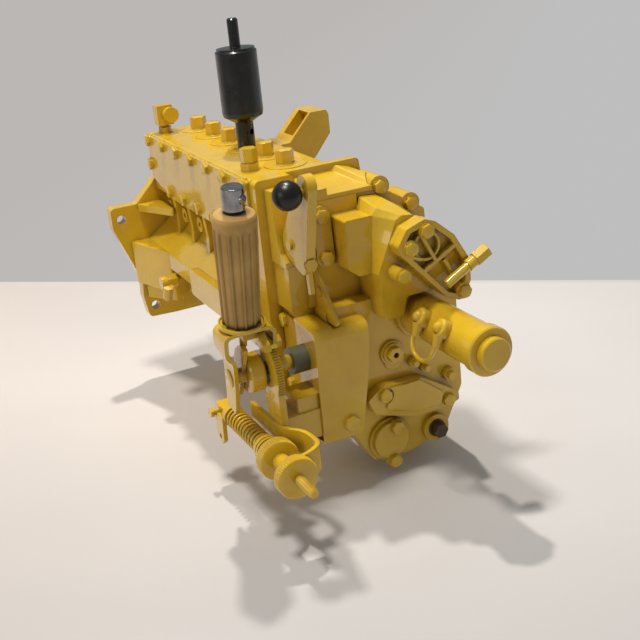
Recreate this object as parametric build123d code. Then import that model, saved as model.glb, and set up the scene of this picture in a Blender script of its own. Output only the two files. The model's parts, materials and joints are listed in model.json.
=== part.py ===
from build123d import *
import math
import os

os.makedirs("parts", exist_ok=True)

# Inline diesel injection pump with its governor, hand throttle and shut-off.
# Frame: origin where the camshaft axis meets the drive flange's mounting face.
# +Y runs along the camshaft towards the engine, +Z up, the side cover faces -X.
# All sizes in millimetres.

# ---------------------------------------------------------------- driving dimensions
PITCH = 57.15            # one pumping element to the next
ELEMENTS = 6
FIRST_ELEMENT_Y = -54.9
TOP_Z = 184.0            # housing top above the camshaft axis
TOP_LEFT_X = -62.0
TOP_RIGHT_X = 39.0
FLANGE_T = 18.0          # drive flange thickness
BODY_END_Y = -366.0      # where the pump housing's end flange starts
JOINT_Y = -378.0         # pump housing to governor joint face
GOV_FLANGE_Y = -392.0    # front of the governor's own flange
GOV_SPLIT_Y = -432.0     # centre housing to front housing joint face
GOV_FRONT_Y = -462.0     # lower front face of the front housing
TOWER_FRONT_Y = -497.0   # face that carries the ribbed end cover
FIT = 0.05               # running fit, radial
GAP = 0.3                # clearance between pieces that pass each other

CAM_BASE_R = 19.0
CAM_LIFT = 10.0
JOURNAL_R = 19.0
SHAFT_NOSE_R = 14.0
TUNNEL_R = 34.0
TAPPET_R = 16.0
PLUNGER_R = 5.0
BARREL_R = 13.0
BONNET_R = 25.0
CHAMBER_Y = (-362.0, -33.0)
CHAMBER_Z = (128.0, 168.0)
RACK_Z = (133.0, 141.0)
GEAR_MODULE = 2.0
GEAR_TEETH = 18
GEAR_PITCH_R = GEAR_MODULE * GEAR_TEETH / 2

BOLT_AF = 14.3           # 9/16 in across flats, 3/8 in thread
BOLT_HEAD_H = 5.6
BOLT_R = 4.76

THROTTLE_Y = -445.0      # throttle shaft axis, along X
THROTTLE_Z = -12.0
LEVER_X = -120.0         # middle plane of the hand lever
LEVER_LEAN = 8.5         # degrees the lever leans away from the engine
GRIP_R = 23.5
GRIP_Z = (66.0, 195.0)   # grip ends, measured up the lever from the shaft
SECTOR_R = 44.0
SECTOR_X = (-100.0, -92.0)

SHUTOFF_Y = -437.0       # shut-off lever pivot, along X
SHUTOFF_Z = 119.0
SHUTOFF_X = (-46.0, -35.0)

SOLENOID_X = 92.0
SOLENOID_Z = 13.0
SOLENOID_R = 25.4

ROD_X = -120.0           # adjuster rod axis, along Y
ROD_Z = -88.0
ROD_R = 5.0
WHEEL_R = 23.5


# ---------------------------------------------------------------- drawing helpers
def prism(points, axis, low, high, radius=0.0):
    """Extrude a polygon between two stations of an axis.

    Points are (y, z) for axis x, (x, z) for axis y and (x, y) for axis z.
    """
    planes = {
        "x": Plane(origin=(low, 0, 0), x_dir=(0, 1, 0), z_dir=(1, 0, 0)),
        "y": Plane(origin=(0, high, 0), x_dir=(1, 0, 0), z_dir=(0, -1, 0)),
        "z": Plane(origin=(0, 0, low), x_dir=(1, 0, 0), z_dir=(0, 0, 1)),
    }
    face = make_face(Polyline(*points, close=True))
    if radius > 0:
        face = fillet(face.vertices(), radius)
    return extrude(planes[axis] * face, amount=high - low)


def bar(axis, low, high, u, v, radius):
    """A round bar along an axis; u and v are its other two coordinates in X, Y, Z order."""
    mid = (low + high) / 2
    places = {
        "x": Pos(mid, u, v) * Rot(0, 90, 0),
        "y": Pos(u, mid, v) * Rot(90, 0, 0),
        "z": Pos(u, v, mid),
    }
    return places[axis] * Cylinder(radius, high - low)


def hexbar(axis, low, high, u, v, across, turn=0.0):
    """A hexagon bar along an axis, by its width across flats."""
    blank = extrude(RegularPolygon(across / math.sqrt(3), 6, rotation=turn), amount=high - low)
    places = {
        "x": Pos(low, u, v) * Rot(0, 90, 0),
        "y": Pos(u, high, v) * Rot(90, 0, 0),
        "z": Pos(u, v, low),
    }
    return places[axis] * blank


def block(x0, x1, y0, y1, z0, z1):
    size = Box(x1 - x0, y1 - y0, z1 - z0)
    return Pos((x0 + x1) / 2, (y0 + y1) / 2, (z0 + z1) / 2) * size


def bolt(axis, face, side, u, v, reach, across=BOLT_AF, radius=BOLT_R):
    """A hexagon bolt seated on a face; side is the way its head stands, +1 or -1."""
    washer = face + side * 1.2
    crown = face + side * BOLT_HEAD_H
    tip = face - side * reach
    head = hexbar(axis, min(washer, crown), max(washer, crown), u, v, across)
    collar = bar(axis, min(face, washer), max(face, washer), u, v, across * 0.56)
    shank = bar(axis, min(face, tip), max(face, tip), u, v, radius)
    return head + collar + shank


def bolt_hole(axis, face, side, u, v, reach, radius=BOLT_R):
    tip = face - side * (reach + 1.0)
    top = face + side * 0.5
    return bar(axis, min(tip, top), max(tip, top), u, v, radius + 0.2)


def gear_blank(teeth, module, thick, count, first):
    """A spur gear of full or part rim, its teeth centred on angle 0, along +Z.

    count teeth are cut from tooth number first; the rest of the rim is plain.
    """
    pitch_r = module * teeth / 2
    root_r = pitch_r - 1.25 * module
    tip_r = pitch_r + 0.9 * module
    half_root = math.pi / teeth * 0.62
    half_pitch = math.pi / teeth * 0.44
    half_tip = math.pi / teeth * 0.24
    wheel = Cylinder(root_r, thick)
    tooth_points = []
    for radius, half in ((root_r - 0.5, half_root), (pitch_r, half_pitch), (tip_r, half_tip)):
        tooth_points.append((radius * math.cos(half), radius * math.sin(half)))
    mirrored = [(x, -y) for x, y in reversed(tooth_points)]
    tooth = extrude(make_face(Polyline(*tooth_points, *mirrored, close=True)), amount=thick)
    tooth = Pos(0, 0, -thick / 2) * tooth
    for number in range(first, first + count):
        wheel += Rot(0, 0, 360 / teeth * number) * tooth
    return wheel


def save(shape, node, label=None):
    shape.label = label or node
    export_step(shape, "parts/" + node + ".step")


def element_y(number):
    return FIRST_ELEMENT_Y - number * PITCH


ELEMENT_YS = [element_y(number) for number in range(ELEMENTS)]

# ---------------------------------------------------------------- pump housing
HOUSING_PROFILE = [
    (TOP_LEFT_X, TOP_Z), (TOP_RIGHT_X, TOP_Z), (TOP_RIGHT_X, 72), (58, 44),
    (58, -14), (34, -56), (-40, -56), (-64, -24), (-64, 4), (-86, 12),
    (-86, 35), (-52, 58), (-42, 72), (-42, 96), (TOP_LEFT_X, 105),
]
FLANGE_OUTLINE = [
    (-134, 88), (-134, 58), (-104, -24), (-106, -50), (-101, -82), (-60, -84),
    (60, -84), (101, -82), (106, -50), (104, -24), (134, 58), (134, 88),
    (95, 88), (58, 124), (-58, 124), (-95, 88),
]
FLANGE_HOLES = [(-120, 70), (120, 70), (-90, -66), (90, -66)]
FLANGE_HOLE_R = 6.6
PILOT_R = 45.0
PILOT_H = 5.0
LEDGE_LUMP = [(-60, -FLANGE_T), (-113, -FLANGE_T), (-86, -108), (-60, -108)]
LOWER_LUG = [(-60, -FLANGE_T), (-103, -FLANGE_T), (-72, -66), (-60, -66)]
COVER_BOLT_Z = 176.5
COVER_TOP_YS = [-29.5 - 56.0 * step for step in range(7)]
COVER_LOW_YS = [-96.0 - 54.5 * step for step in range(5)]
COVER_LOW_Z = 116.0
COVER_END_BOLTS = [(-27, 143), (-368, 146)]
COVER_FACE_X = TOP_LEFT_X - 4.0
COVER_REACH = 11.0


def cover_bolt_places():
    places = [(y, COVER_BOLT_Z) for y in COVER_TOP_YS]
    places += [(y, COVER_LOW_Z) for y in COVER_LOW_YS]
    return places + COVER_END_BOLTS


def housing_shell():
    body = prism(HOUSING_PROFILE, "y", BODY_END_Y, -FLANGE_T + 4, 3)
    flange = prism(FLANGE_OUTLINE, "y", -FLANGE_T, 0, 6)
    pilot = bar("y", 0, PILOT_H, 0, 0, PILOT_R)
    end_flange = prism(
        [(TOP_LEFT_X, TOP_Z), (76, TOP_Z), (79, 150), (66, -96), (40, -112), (-48, -112),
         (TOP_LEFT_X, -90)],
        "y", JOINT_Y, BODY_END_Y, 5)
    lump = prism(LEDGE_LUMP, "z", -24, 36, 4)
    lug = prism(LOWER_LUG, "z", -50, -32, 4)
    web = prism([(-60, -FLANGE_T), (-96, -FLANGE_T), (-60, -92)], "z", 78, 88, 3)
    return body + flange + pilot + end_flange + lump + lug + web


def recess_ribs():
    """Upright ribs that cross the lifter recess between the elements."""
    ribs = []
    for number in range(ELEMENTS - 1):
        middle = element_y(number) - PITCH / 2
        outline = [(-38, 50), (-60, 42), (-58, 74), (-61, 106), (-38, 106)]
        ribs.append(prism(outline, "y", middle - 5, middle + 5, 2))
    return ribs


def housing_cuts():
    cuts = [bar("y", BODY_END_Y + 14, -FLANGE_T - 14, 0, 0, TUNNEL_R)]
    cuts.append(bar("y", JOINT_Y - 1, PILOT_H + 1, 0, 0, JOURNAL_R + FIT))
    x0 = TOP_LEFT_X - 1
    cuts.append(block(x0, 26, *CHAMBER_Y, *CHAMBER_Z))
    cuts.append(block(-32, -14, JOINT_Y - 1, -350, RACK_Z[0] - 1, RACK_Z[1] + 1))
    for y in ELEMENT_YS:
        cuts.append(bar("z", 20, 100, 0, y, TAPPET_R + FIT))
        cuts.append(bar("z", 90, 132, 0, y, PLUNGER_R + 3))
        cuts.append(bar("z", CHAMBER_Z[1] - 2, TOP_Z + 1, 0, y, BARREL_R + 5))
        cuts.append(bar("z", TOP_Z - 6, TOP_Z + 1, 0, y, BONNET_R + 0.1))
    for y, z in cover_bolt_places():
        cuts.append(bolt_hole("x", TOP_LEFT_X, -1, y, z, COVER_REACH))
    for x, z in FLANGE_HOLES:
        cuts.append(bar("y", -FLANGE_T - 1, 1, x, z, FLANGE_HOLE_R))
    return cuts


def pump_housing():
    body = housing_shell()
    for rib in recess_ribs():
        body += rib
    for y in ELEMENT_YS:
        body += bar("x", -54, -38, y, 84, 11)
    for cut in housing_cuts():
        body -= cut
    for y in ELEMENT_YS:
        body -= bar("x", -56, -46, y, 84, 7.2)
    body -= bar("z", TOP_Z - 12, TOP_Z + 1, FITTING_X, BLEED_Y, 6.7)
    body -= bar("z", TOP_Z - 12, TOP_Z + 1, FITTING_X, TOP_PLUG_Y, 7.2)
    body -= bar("x", -96, -78, LUBE_Y, LUBE_Z, 6.2)
    return body


def side_cover():
    outline = [(-22, 182), (-375, 182), (-375, 106), (-84, 106), (-22, 124)]
    plate = prism(outline, "x", COVER_FACE_X, TOP_LEFT_X, 3)
    for y, z in cover_bolt_places():
        plate -= bar("x", COVER_FACE_X - 1, TOP_LEFT_X + 1, y, z, BOLT_R + 0.2)
    return plate


def side_cover_bolts():
    reach = COVER_REACH + TOP_LEFT_X - COVER_FACE_X - 1
    return [bolt("x", COVER_FACE_X, -1, y, z, reach) for y, z in cover_bolt_places()]


# ---------------------------------------------------------------- pumping elements
CAP_AF = 19.0
CAP_H = 17.0
PLUNGER_TOP = 158.0
OPEN_ELEMENT = 3         # the element that carries the lifting adapter instead of a cap


def pump_barrels():
    """Barrel with its round bonnet, flush in the housing top, one for each element."""
    sets = []
    for y in ELEMENT_YS:
        unit = bar("z", TOP_Z - 6, TOP_Z + 0.6, 0, y, BONNET_R)
        unit += bar("z", CHAMBER_Z[0] + 16, TOP_Z - 6, 0, y, BARREL_R + 4.5)
        unit += bar("z", CHAMBER_Z[0] + 0.5, CHAMBER_Z[0] + 16, 0, y, BARREL_R - 2)
        unit += bar("z", TOP_Z, TOP_Z + 5, 0, y, 8)
        unit -= bar("z", CHAMBER_Z[0], TOP_Z - 14, 0, y, PLUNGER_R + FIT)
        unit -= bar("z", TOP_Z - 12, TOP_Z + 6, 0, y, 4)
        sets.append(unit)
    return Compound(sets)


def outlet_caps():
    caps = []
    for number, y in enumerate(ELEMENT_YS):
        if number == OPEN_ELEMENT:
            continue
        cap = hexbar("z", TOP_Z + 1, TOP_Z + 1 + CAP_H, 0, y, CAP_AF)
        cap += bar("z", TOP_Z + 0.6, TOP_Z + 1, 0, y, 9)
        cap -= bar("z", TOP_Z, TOP_Z + 6, 0, y, 8)
        caps.append(cap)
    return Compound(caps)


def metering_gear(number):
    """Toothed control sleeve round the barrel; its teeth face the rack."""
    low, high = RACK_Z
    gear = gear_blank(GEAR_TEETH, GEAR_MODULE, high - low, 9, -4)
    gear = Rot(0, 0, 180) * gear
    gear -= Cylinder(BARREL_R - 2 + FIT, high - low + 2)
    return Pos(0, element_y(number), (low + high) / 2) * gear


def lifter(number):
    """Lifter and plunger of one element, standing just clear of the lobe's nose circle."""
    bottom = CAM_BASE_R + CAM_LIFT + GAP
    y = element_y(number)
    unit = bar("z", bottom, bottom + 34, 0, y, TAPPET_R)
    unit += bar("z", bottom + 34, bottom + 40, 0, y, 9)
    return unit + bar("z", bottom + 40, PLUNGER_TOP, 0, y, PLUNGER_R)


def rack():
    low, high = RACK_Z
    pitch = math.pi * GEAR_MODULE
    line = -GEAR_PITCH_R - 0.15
    root = line - 1.25 * GEAR_MODULE
    body = block(root - 6, root, -408, -40, low, high)
    for y in ELEMENT_YS:
        for step in range(-3, 2):
            middle = y + (step + 0.5) * pitch
            tip = pitch * 0.12
            foot = pitch * 0.31
            points = [(root - 1, middle - foot), (line + 0.9 * GEAR_MODULE, middle - tip),
                      (line + 0.9 * GEAR_MODULE, middle + tip), (root - 1, middle + foot)]
            body += prism(points, "z", low, high)
    return body


# ---------------------------------------------------------------- camshaft
CAM_PHASES = [0, 240, 120, 300, 60, 180]
CAM_W = 17.0
SHAFT_TIP_Y = 46.0
SHAFT_END_Y = -398.0
JOURNAL_SPANS = [(JOINT_Y + 4, BODY_END_Y + 14), (-31.0, -4.0)]


def cam_lobe(number):
    """One lobe: a base circle and a nose circle joined by their tangents."""
    nose_r = 8.0
    reach = CAM_BASE_R + CAM_LIFT - nose_r
    base = Circle(CAM_BASE_R)
    nose = Pos(0, reach) * Circle(nose_r)
    outline = make_hull(base.edges() + nose.edges())
    lobe = extrude(outline, amount=CAM_W)
    turned = Rot(0, 0, CAM_PHASES[number] + 15) * lobe
    return Pos(0, element_y(number) + CAM_W / 2, 0) * Rot(90, 0, 0) * turned


def camshaft():
    shaft = bar("y", SHAFT_END_Y, SHAFT_TIP_Y, 0, 0, SHAFT_NOSE_R)
    for low, high in JOURNAL_SPANS:
        shaft += bar("y", low, high, 0, 0, JOURNAL_R)
    for number in range(ELEMENTS):
        shaft += cam_lobe(number)
    return shaft - block(-3, 3, SHAFT_TIP_Y - 30, SHAFT_TIP_Y + 1, SHAFT_NOSE_R - 4, SHAFT_NOSE_R + 1)


# ---------------------------------------------------------------- fittings on the pump top
FITTING_X = -42.0
BLEED_Y = -34.0
TOP_PLUG_Y = -335.0


def bleed_elbow():
    """Square banjo block on a hexagon foot, its through bolt ending in a round head."""
    fitting = bar("z", TOP_Z - 10, TOP_Z, FITTING_X, BLEED_Y, 6.5)
    fitting += hexbar("z", TOP_Z, TOP_Z + 8, FITTING_X, BLEED_Y, 16)
    fitting += bar("z", TOP_Z + 8, TOP_Z + 11, FITTING_X, BLEED_Y, 6)
    fitting += block(-53, -31, BLEED_Y - 9, BLEED_Y + 9, TOP_Z + 11, TOP_Z + 38)
    return fitting + bar("y", BLEED_Y - 18, BLEED_Y - 9, -36, TOP_Z + 25, 10.5)


def top_plug():
    plug = bar("z", TOP_Z - 10, TOP_Z, FITTING_X, TOP_PLUG_Y, 7)
    plug += hexbar("z", TOP_Z, TOP_Z + 9, FITTING_X, TOP_PLUG_Y, 20)
    plug += bar("z", TOP_Z + 9, TOP_Z + 10.5, FITTING_X, TOP_PLUG_Y, 8.5)
    return plug + hexbar("z", TOP_Z + 10.5, TOP_Z + 26, FITTING_X, TOP_PLUG_Y, 17.5, 30)


def lifting_adapter():
    """Black adapter screwed on the open element: neck, cone, drum and lifting rod."""
    y = element_y(OPEN_ELEMENT)
    low = TOP_Z + 1
    neck = [(8.2, low), (11.3, low), (11.3, low + 33), (24.5, low + 41), (25.5, low + 46),
            (25.5, low + 119), (23.5, low + 121), (23.5, low + 123), (15, low + 124),
            (6.8, low + 124), (6.8, low + 156), (5.0, low + 158), (0, low + 158),
            (0, low + 8), (8.2, low + 8)]
    face = make_face(Plane.XZ * Polyline(*neck, close=True))
    body = Pos(0, y, 0) * revolve(face, Axis.Z)
    hole = Pos(0, y, low + 21) * Rot(0, 0, 28) * Rot(90, 0, 0) * Cylinder(3.6, 40)
    return body - hole


LUG_Y = (-242.0, -198.0)


def support_lug():
    """Hollow cast lug on the housing's right side; its pocket opens on the sloped face."""
    outline = [(TOP_RIGHT_X, 184), (52, 184), (84, 217), (106, 217), (109, 211), (109, 187),
               (86, 160), (TOP_RIGHT_X, 132)]
    shell = prism(outline, "y", *LUG_Y, 2.5)
    pocket = [(54, 196), (79, 221), (101, 196), (78, 173)]
    return shell - prism(pocket, "y", LUG_Y[0] + 5, LUG_Y[1] - 12, 2)


# ---------------------------------------------------------------- governor housings
TOP_BOLT = (72, 160)
SIDE_BOLT = (110, 133)
STRAP_BOLTS = [(-8.4, 144.6), (-6.6, 96.2)]
STRAP_R = 11.0
STRAP_Y = (-442.0, -436.0)
PLUG_X = 54.5
PLUG_Z = -28.0
LOZENGE = [
    (12.6, -74.3), (21, -93.7), (73.5, -111.9), (116.3, -111.9), (135.1, -107.3), (134.5, -97),
    (122, -88.2), (85.3, -64.3), (52.2, -62.5), (31.9, -61.4),
]
LOZENGE_RAISED = [
    (42.1, -65.3), (81.3, -65), (112.4, -90.2), (107.9, -104.4), (74.3, -103.9), (35, -89.4),
]
LOZENGE_BOLTS = [(34.9, -72.9), (119.7, -102.6)]
LOZENGE_Y = -469.0       # face of the land under the transfer cover
ROUND_X = 43.0
ROUND_Z = -136.0
ROUND_R = 23.0
ROUND_BOLTS = [(50, -120), (44, -163)]
DRAIN_X = 106.0
DRAIN_Z = -140.0
CENTRE_OUTLINE = [
    (-62, TOP_Z), (-14, TOP_Z), (-12, 160), (60, 160), (84, 152), (132, 128), (150, 60),
    (150, -96), (116, -158), (24, -158), (-30, -112), (-62, -96),
]
CENTRE_UPPER = [(-32, 160), (60, 160), (84, 152), (128, 124), (132, 20), (-32, 20)]
CENTRE_LOWER = [
    (-50, 92), (-30, 92), (148, 62), (148, -96), (114, -154), (26, -154), (-22, -110),
    (-44, -104), (-44, 36), (-50, 36),
]
FRONT_LOWER = [
    (-24, 43), (40, 43), (146, 44), (148, -96), (120, -150), (66, -164), (22, -160),
    (-6, -112), (-24, -100),
]
TOWER_STAGES = [
    (GOV_SPLIT_Y, [(38, 142), (44, 155), (66, 153), (97, 133), (134, 80), (134, 46), (66, 46),
                   (60, 24), (36, 24), (33, 78)]),
    (-470, [(38, 141), (46, 149), (72, 146), (92, 130), (133, 79), (131, 46), (66, 46),
            (60, 24), (36, 24), (33, 78)]),
    (TOWER_FRONT_Y + 8, [(58, 136), (66, 140), (79, 138), (98, 125), (131, 78), (127, 46),
                         (66, 46), (60, 24), (36, 24), (32, 79)]),
]


def cavity(y0, y1, radius=37.0):
    return bar("y", y0, y1, 0, 0, radius)


def governor_center_housing():
    body = prism(CENTRE_OUTLINE, "y", GOV_FLANGE_Y, JOINT_Y, 6)
    body += prism(CENTRE_UPPER, "y", GOV_SPLIT_Y, GOV_FLANGE_Y, 6)
    body += prism(CENTRE_LOWER, "y", GOV_SPLIT_Y, GOV_FLANGE_Y, 2.5)
    for x, z in (TOP_BOLT, SIDE_BOLT):
        body += bar("y", GOV_SPLIT_Y, GOV_FLANGE_Y, x, z, 12.5)
    body -= cavity(GOV_SPLIT_Y - 1, JOINT_Y + 1)
    body -= block(-32, -14, GOV_SPLIT_Y + 6, JOINT_Y + 1, RACK_Z[0] - 1, RACK_Z[1] + 1)
    body -= bar("x", -33, -13, SHUTOFF_Y, SHUTOFF_Z, 6 + GAP)
    for x, z in (TOP_BOLT, SIDE_BOLT):
        body -= bolt_hole("y", GOV_SPLIT_Y, -1, x, z, 16)
    for y, z in SIDE_PLATE_BOLTS:
        body -= bolt_hole("x", -44, -1, y, z, 10)
    return body


def tower_section(stage):
    y, points = TOWER_STAGES[stage]
    place = Plane(origin=(0, y, 0), x_dir=(1, 0, 0), z_dir=(0, -1, 0))
    return place * fillet(make_face(Polyline(*points, close=True)).vertices(), 3)


def tower():
    """Upper right extension that tapers in two stages to the end cover's flange."""
    body = loft([tower_section(0), tower_section(1)], ruled=True)
    body += loft([tower_section(1), tower_section(2)], ruled=True)
    return body + prism(END_COVER_OUTLINE, "y", TOWER_FRONT_Y, TOWER_FRONT_Y + 8, 5)


def wedge_block():
    """Block with a pointed foot between the strap and the tower."""
    outline = [(5.5, 142), (40, 142), (36, 76), (18, 76), (5.5, 86)]
    return prism(outline, "y", -471, GOV_SPLIT_Y, 3)


def web_plate():
    """Triangular web over the linkage cover, with a round plug near its top."""
    outline = [(GOV_SPLIT_Y, 96), (GOV_SPLIT_Y, 28), (-482, 30), (-486, 36)]
    web = prism(outline, "x", -22, -18, 2)
    return web + bar("x", -23.5, -17, -448, 62, 6)


def shutoff_boss():
    """Bearing boss of the shut-off shaft, and the raised pad under the strap."""
    boss = bar("x", -31, -21, SHUTOFF_Y, SHUTOFF_Z, 12)
    boss += block(-31, -21, -446, GOV_SPLIT_Y, 100, 134)
    boss += block(-30, 40, STRAP_Y[1], GOV_SPLIT_Y, 40, 159)
    return boss - block(-40, 50, GOV_SPLIT_Y, GOV_SPLIT_Y + 20, 30, 165)


def governor_front_housing():
    body = prism(FRONT_LOWER, "y", GOV_FRONT_Y, GOV_SPLIT_Y, 7)
    body += tower() + wedge_block() + web_plate() + shutoff_boss()
    body += bar("y", GOV_FRONT_Y - 8, GOV_FRONT_Y, SOLENOID_X, SOLENOID_Z, 29)
    body += bar("y", GOV_FRONT_Y - 4, GOV_FRONT_Y, PLUG_X, PLUG_Z, 15)
    body += bar("y", GOV_FRONT_Y - 3, GOV_FRONT_Y, PLUG_X + 2, PLUG_Z - 9, 13)
    body += prism(LOZENGE, "y", LOZENGE_Y, GOV_FRONT_Y, 3)
    body += bar("y", GOV_FRONT_Y - 4, GOV_FRONT_Y, ROUND_X, ROUND_Z, 27)
    body += bar("y", GOV_FRONT_Y - 6, GOV_FRONT_Y, DRAIN_X, DRAIN_Z, 17)
    body += bar("y", *TOWER_BOLT_Y, *TOWER_BOLT, 9)
    body -= bar("y", GOV_FRONT_Y - 9, GOV_SPLIT_Y + 1, SOLENOID_X, SOLENOID_Z, 12.7)
    body -= bar("y", GOV_FRONT_Y - 6, GOV_FRONT_Y + 12, PLUG_X, PLUG_Z, 9.2)
    body -= bar("y", GOV_FRONT_Y - 8, GOV_FRONT_Y + 14, DRAIN_X, DRAIN_Z, 8.2)
    body -= bar("x", -32, -20.5, SHUTOFF_Y, SHUTOFF_Z, 6 + FIT)
    body -= cavity(GOV_FRONT_Y + 4, GOV_SPLIT_Y + 1, 30)
    body -= bar("x", -26, 9, THROTTLE_Y, THROTTLE_Z, 9.5)
    for x, z in LOZENGE_BOLTS:
        body -= bolt_hole("y", LOZENGE_Y, -1, x, z, 12)
    for x, z in ROUND_BOLTS:
        body -= bolt_hole("y", GOV_FRONT_Y - 4, -1, x, z, 16)
    body -= bolt_hole("y", TOWER_BOLT_Y[0], -1, *TOWER_BOLT, 14)
    for x, z in STRAP_BOLTS:
        body -= bolt_hole("y", STRAP_Y[1], -1, x, z, 2)
    for x, z in END_COVER_BOLTS:
        body -= bolt_hole("y", TOWER_FRONT_Y, -1, x, z, 7)
    for x, z, r in SMALL_FITTINGS:
        body -= bar("y", GOV_FRONT_Y - 1, GOV_FRONT_Y + 8, x, z, r * 0.6 + 0.2)
    return body - bolt_hole("y", GOV_FRONT_Y, -1, *COVER_SHEET_BOLT, 8)


def governor_top_cover():
    """Sloping deck: two slabs of unequal height and a ridge down the right edge."""
    back, front = GOV_FLANGE_Y + 14, GOV_SPLIT_Y - 2
    left = [(back, 159), (front, 159), (front, 172), (back, 175.5)]
    right = [(back, 159), (front, 159), (front, 164), (-413, 166.5), (back, 175.5)]
    deck = prism(left, "x", -30, 5) + prism(right, "x", 4, 62)
    sections = []
    for y, points in RIDGE_STAGES:
        place = Plane(origin=(0, y, 0), x_dir=(1, 0, 0), z_dir=(0, -1, 0))
        sections.append(place * fillet(make_face(Polyline(*points, close=True)).vertices(), 2.5))
    deck += loft(sections, ruled=True)
    return deck - governor_center_housing() - bar("y", GOV_SPLIT_Y, back, *TOP_BOLT, 12.5)


RIDGE_STAGES = [
    (-378, [(34, 170), (45, 181), (60, 177), (78, 168), (78, 155), (34, 155)]),
    (-425, [(56, 163), (64, 167), (74, 170), (82, 167), (82, 152), (56, 152)]),
]
COVER_SHEET_BOLT = (-14.7, -89)
TOWER_BOLT = (52.5, 78)
TOWER_BOLT_Y = (-507.0, -486.0)
END_COVER_OUTLINE = [
    (59, 130), (47, 112), (50, 102), (105, 41), (124, 33), (137, 54), (137, 79), (118, 112),
    (95, 132), (82, 137),
]
END_COVER_BOLTS = [(83, 124), (127, 44), (62, 108)]
END_COVER_T = 13.0


def rib(start, end, half, low, high):
    """A straight upright rib between two points of an XZ drawing."""
    along = Vector(end[0] - start[0], end[1] - start[1]).normalized() * half
    side = Vector(-along.Y, along.X)
    points = []
    for point, way in ((start, 1), (end, 1), (end, -1), (start, -1)):
        points.append((point[0] + side.X * way, point[1] + side.Y * way))
    return prism(points, "y", low, high)


def end_cover():
    """Diamond cover, hollowed from its front, with a cross of ribs and an arc rib."""
    low = TOWER_FRONT_Y - END_COVER_T
    cover = prism(END_COVER_OUTLINE, "y", low, TOWER_FRONT_Y, 6)
    inner = [(63, 125), (54, 111), (56, 104), (107, 47), (121, 41), (130, 56), (130, 78),
             (113, 108), (93, 125), (83, 130)]
    cover -= prism(inner, "y", low - 1, low + 9, 4)
    ribs = rib((74, 76), (124, 102), 2.2, low, low + 10) + rib((77, 120), (93, 88), 2, low, low + 10)
    ribs += rib((104, 86), (119, 60), 2, low, low + 10) + rib((58, 100), (76, 92), 1.8, low, low + 10)
    ring = bar("y", low + 2, low + 10, 84, 106, 17) - bar("y", low + 1, low + 11, 84, 106, 14)
    outline = prism(END_COVER_OUTLINE, "y", low, TOWER_FRONT_Y, 6)
    cover += (ribs + ring) & outline
    for x, z in END_COVER_BOLTS:
        cover += bar("y", low, TOWER_FRONT_Y, x, z, 9.5)
    for x, z in END_COVER_BOLTS:
        cover -= bar("y", low - 1, TOWER_FRONT_Y + 1, x, z, BOLT_R + 0.2)
    return cover


def governor_bolts():
    face = TOWER_FRONT_Y - END_COVER_T
    bolts = [bolt("y", face, -1, x, z, END_COVER_T + 6) for x, z in END_COVER_BOLTS]
    bolts += [bolt("y", GOV_SPLIT_Y, -1, x, z, 14) for x, z in (TOP_BOLT, SIDE_BOLT)]
    bolts += [bolt("y", STRAP_Y[0], -1, x, z, 8) for x, z in STRAP_BOLTS]
    bolts += [bolt("y", LOZENGE_Y - PLATE_T, -1, x, z, PLATE_T + 8) for x, z in LOZENGE_BOLTS]
    bolts += [bolt("y", GOV_FRONT_Y - 9, -1, x, z, 17) for x, z in ROUND_BOLTS]
    bolts.append(bolt("y", TOWER_BOLT_Y[0], -1, *TOWER_BOLT, 14))
    bolts.append(bolt("y", SHEET_FRONT_Y, -1, *COVER_SHEET_BOLT, 26, across=17))
    return bolts + [bolt("x", SIDE_PLATE_X[0], -1, y, z, 9) for y, z in SIDE_PLATE_BOLTS]


PLATE_T = 7.0


def strap_outline(radius):
    ends = [Pos(x, z) * Circle(radius) for x, z in STRAP_BOLTS]
    return make_hull(ends[0].edges() + ends[1].edges())


def access_strap():
    """Flat strap with round ends, bolted on its pad beside the shut-off boss."""
    low, high = STRAP_Y
    place = Plane(origin=(0, high, 0), x_dir=(1, 0, 0), z_dir=(0, -1, 0))
    strap = extrude(place * strap_outline(STRAP_R), amount=high - low)
    for x, z in STRAP_BOLTS:
        strap -= bar("y", low - 1, high + 1, x, z, BOLT_R + 0.2)
    return strap


def end_fitting():
    """Bleed tube that leans across the end cover's corner and ends in a hexagon."""
    tube = Cylinder(5.5, 44) + Pos(0, 0, 16) * Cylinder(7, 12)
    tube += Pos(0, 0, 21) * extrude(RegularPolygon(9, 6), amount=18)
    lean = Rot(0, 62, 0)
    return Pos(120, TOWER_FRONT_Y - END_COVER_T - 7.5, 70) * lean * tube


# ---------------------------------------------------------------- shut-off solenoid
SOLENOID_Y = (-598.0, -470.3)


def solenoid_body():
    """Case, spigot, rolled end ring and the round disc at the end, painted as one."""
    low, high = SOLENOID_Y
    profile = [(0, GOV_FRONT_Y + 10), (12.5, GOV_FRONT_Y + 10), (12.5, high), (SOLENOID_R, high),
               (SOLENOID_R, low), (27.8, low), (27.8, low - 12), (26.3, low - 14),
               (18.5, low - 14), (18.5, low - 22.5), (17, low - 24), (0, low - 24)]
    face = make_face(Plane.XY * Polyline(*profile, close=True))
    body = Pos(SOLENOID_X, 0, SOLENOID_Z) * revolve(face, Axis.Y)
    return body - bar("y", -560, GOV_FRONT_Y + 11, SOLENOID_X, SOLENOID_Z, 6 + FIT)


def solenoid_plunger():
    rod = bar("y", -545, -452, SOLENOID_X, SOLENOID_Z, 6)
    return rod + bar("y", -452, -438, SOLENOID_X, SOLENOID_Z, 3.5)


TERMINAL_YS = (-515.0, -557.0)
TERMINAL_ANGLE = 148.0   # round the solenoid from +X, towards +Z


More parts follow.
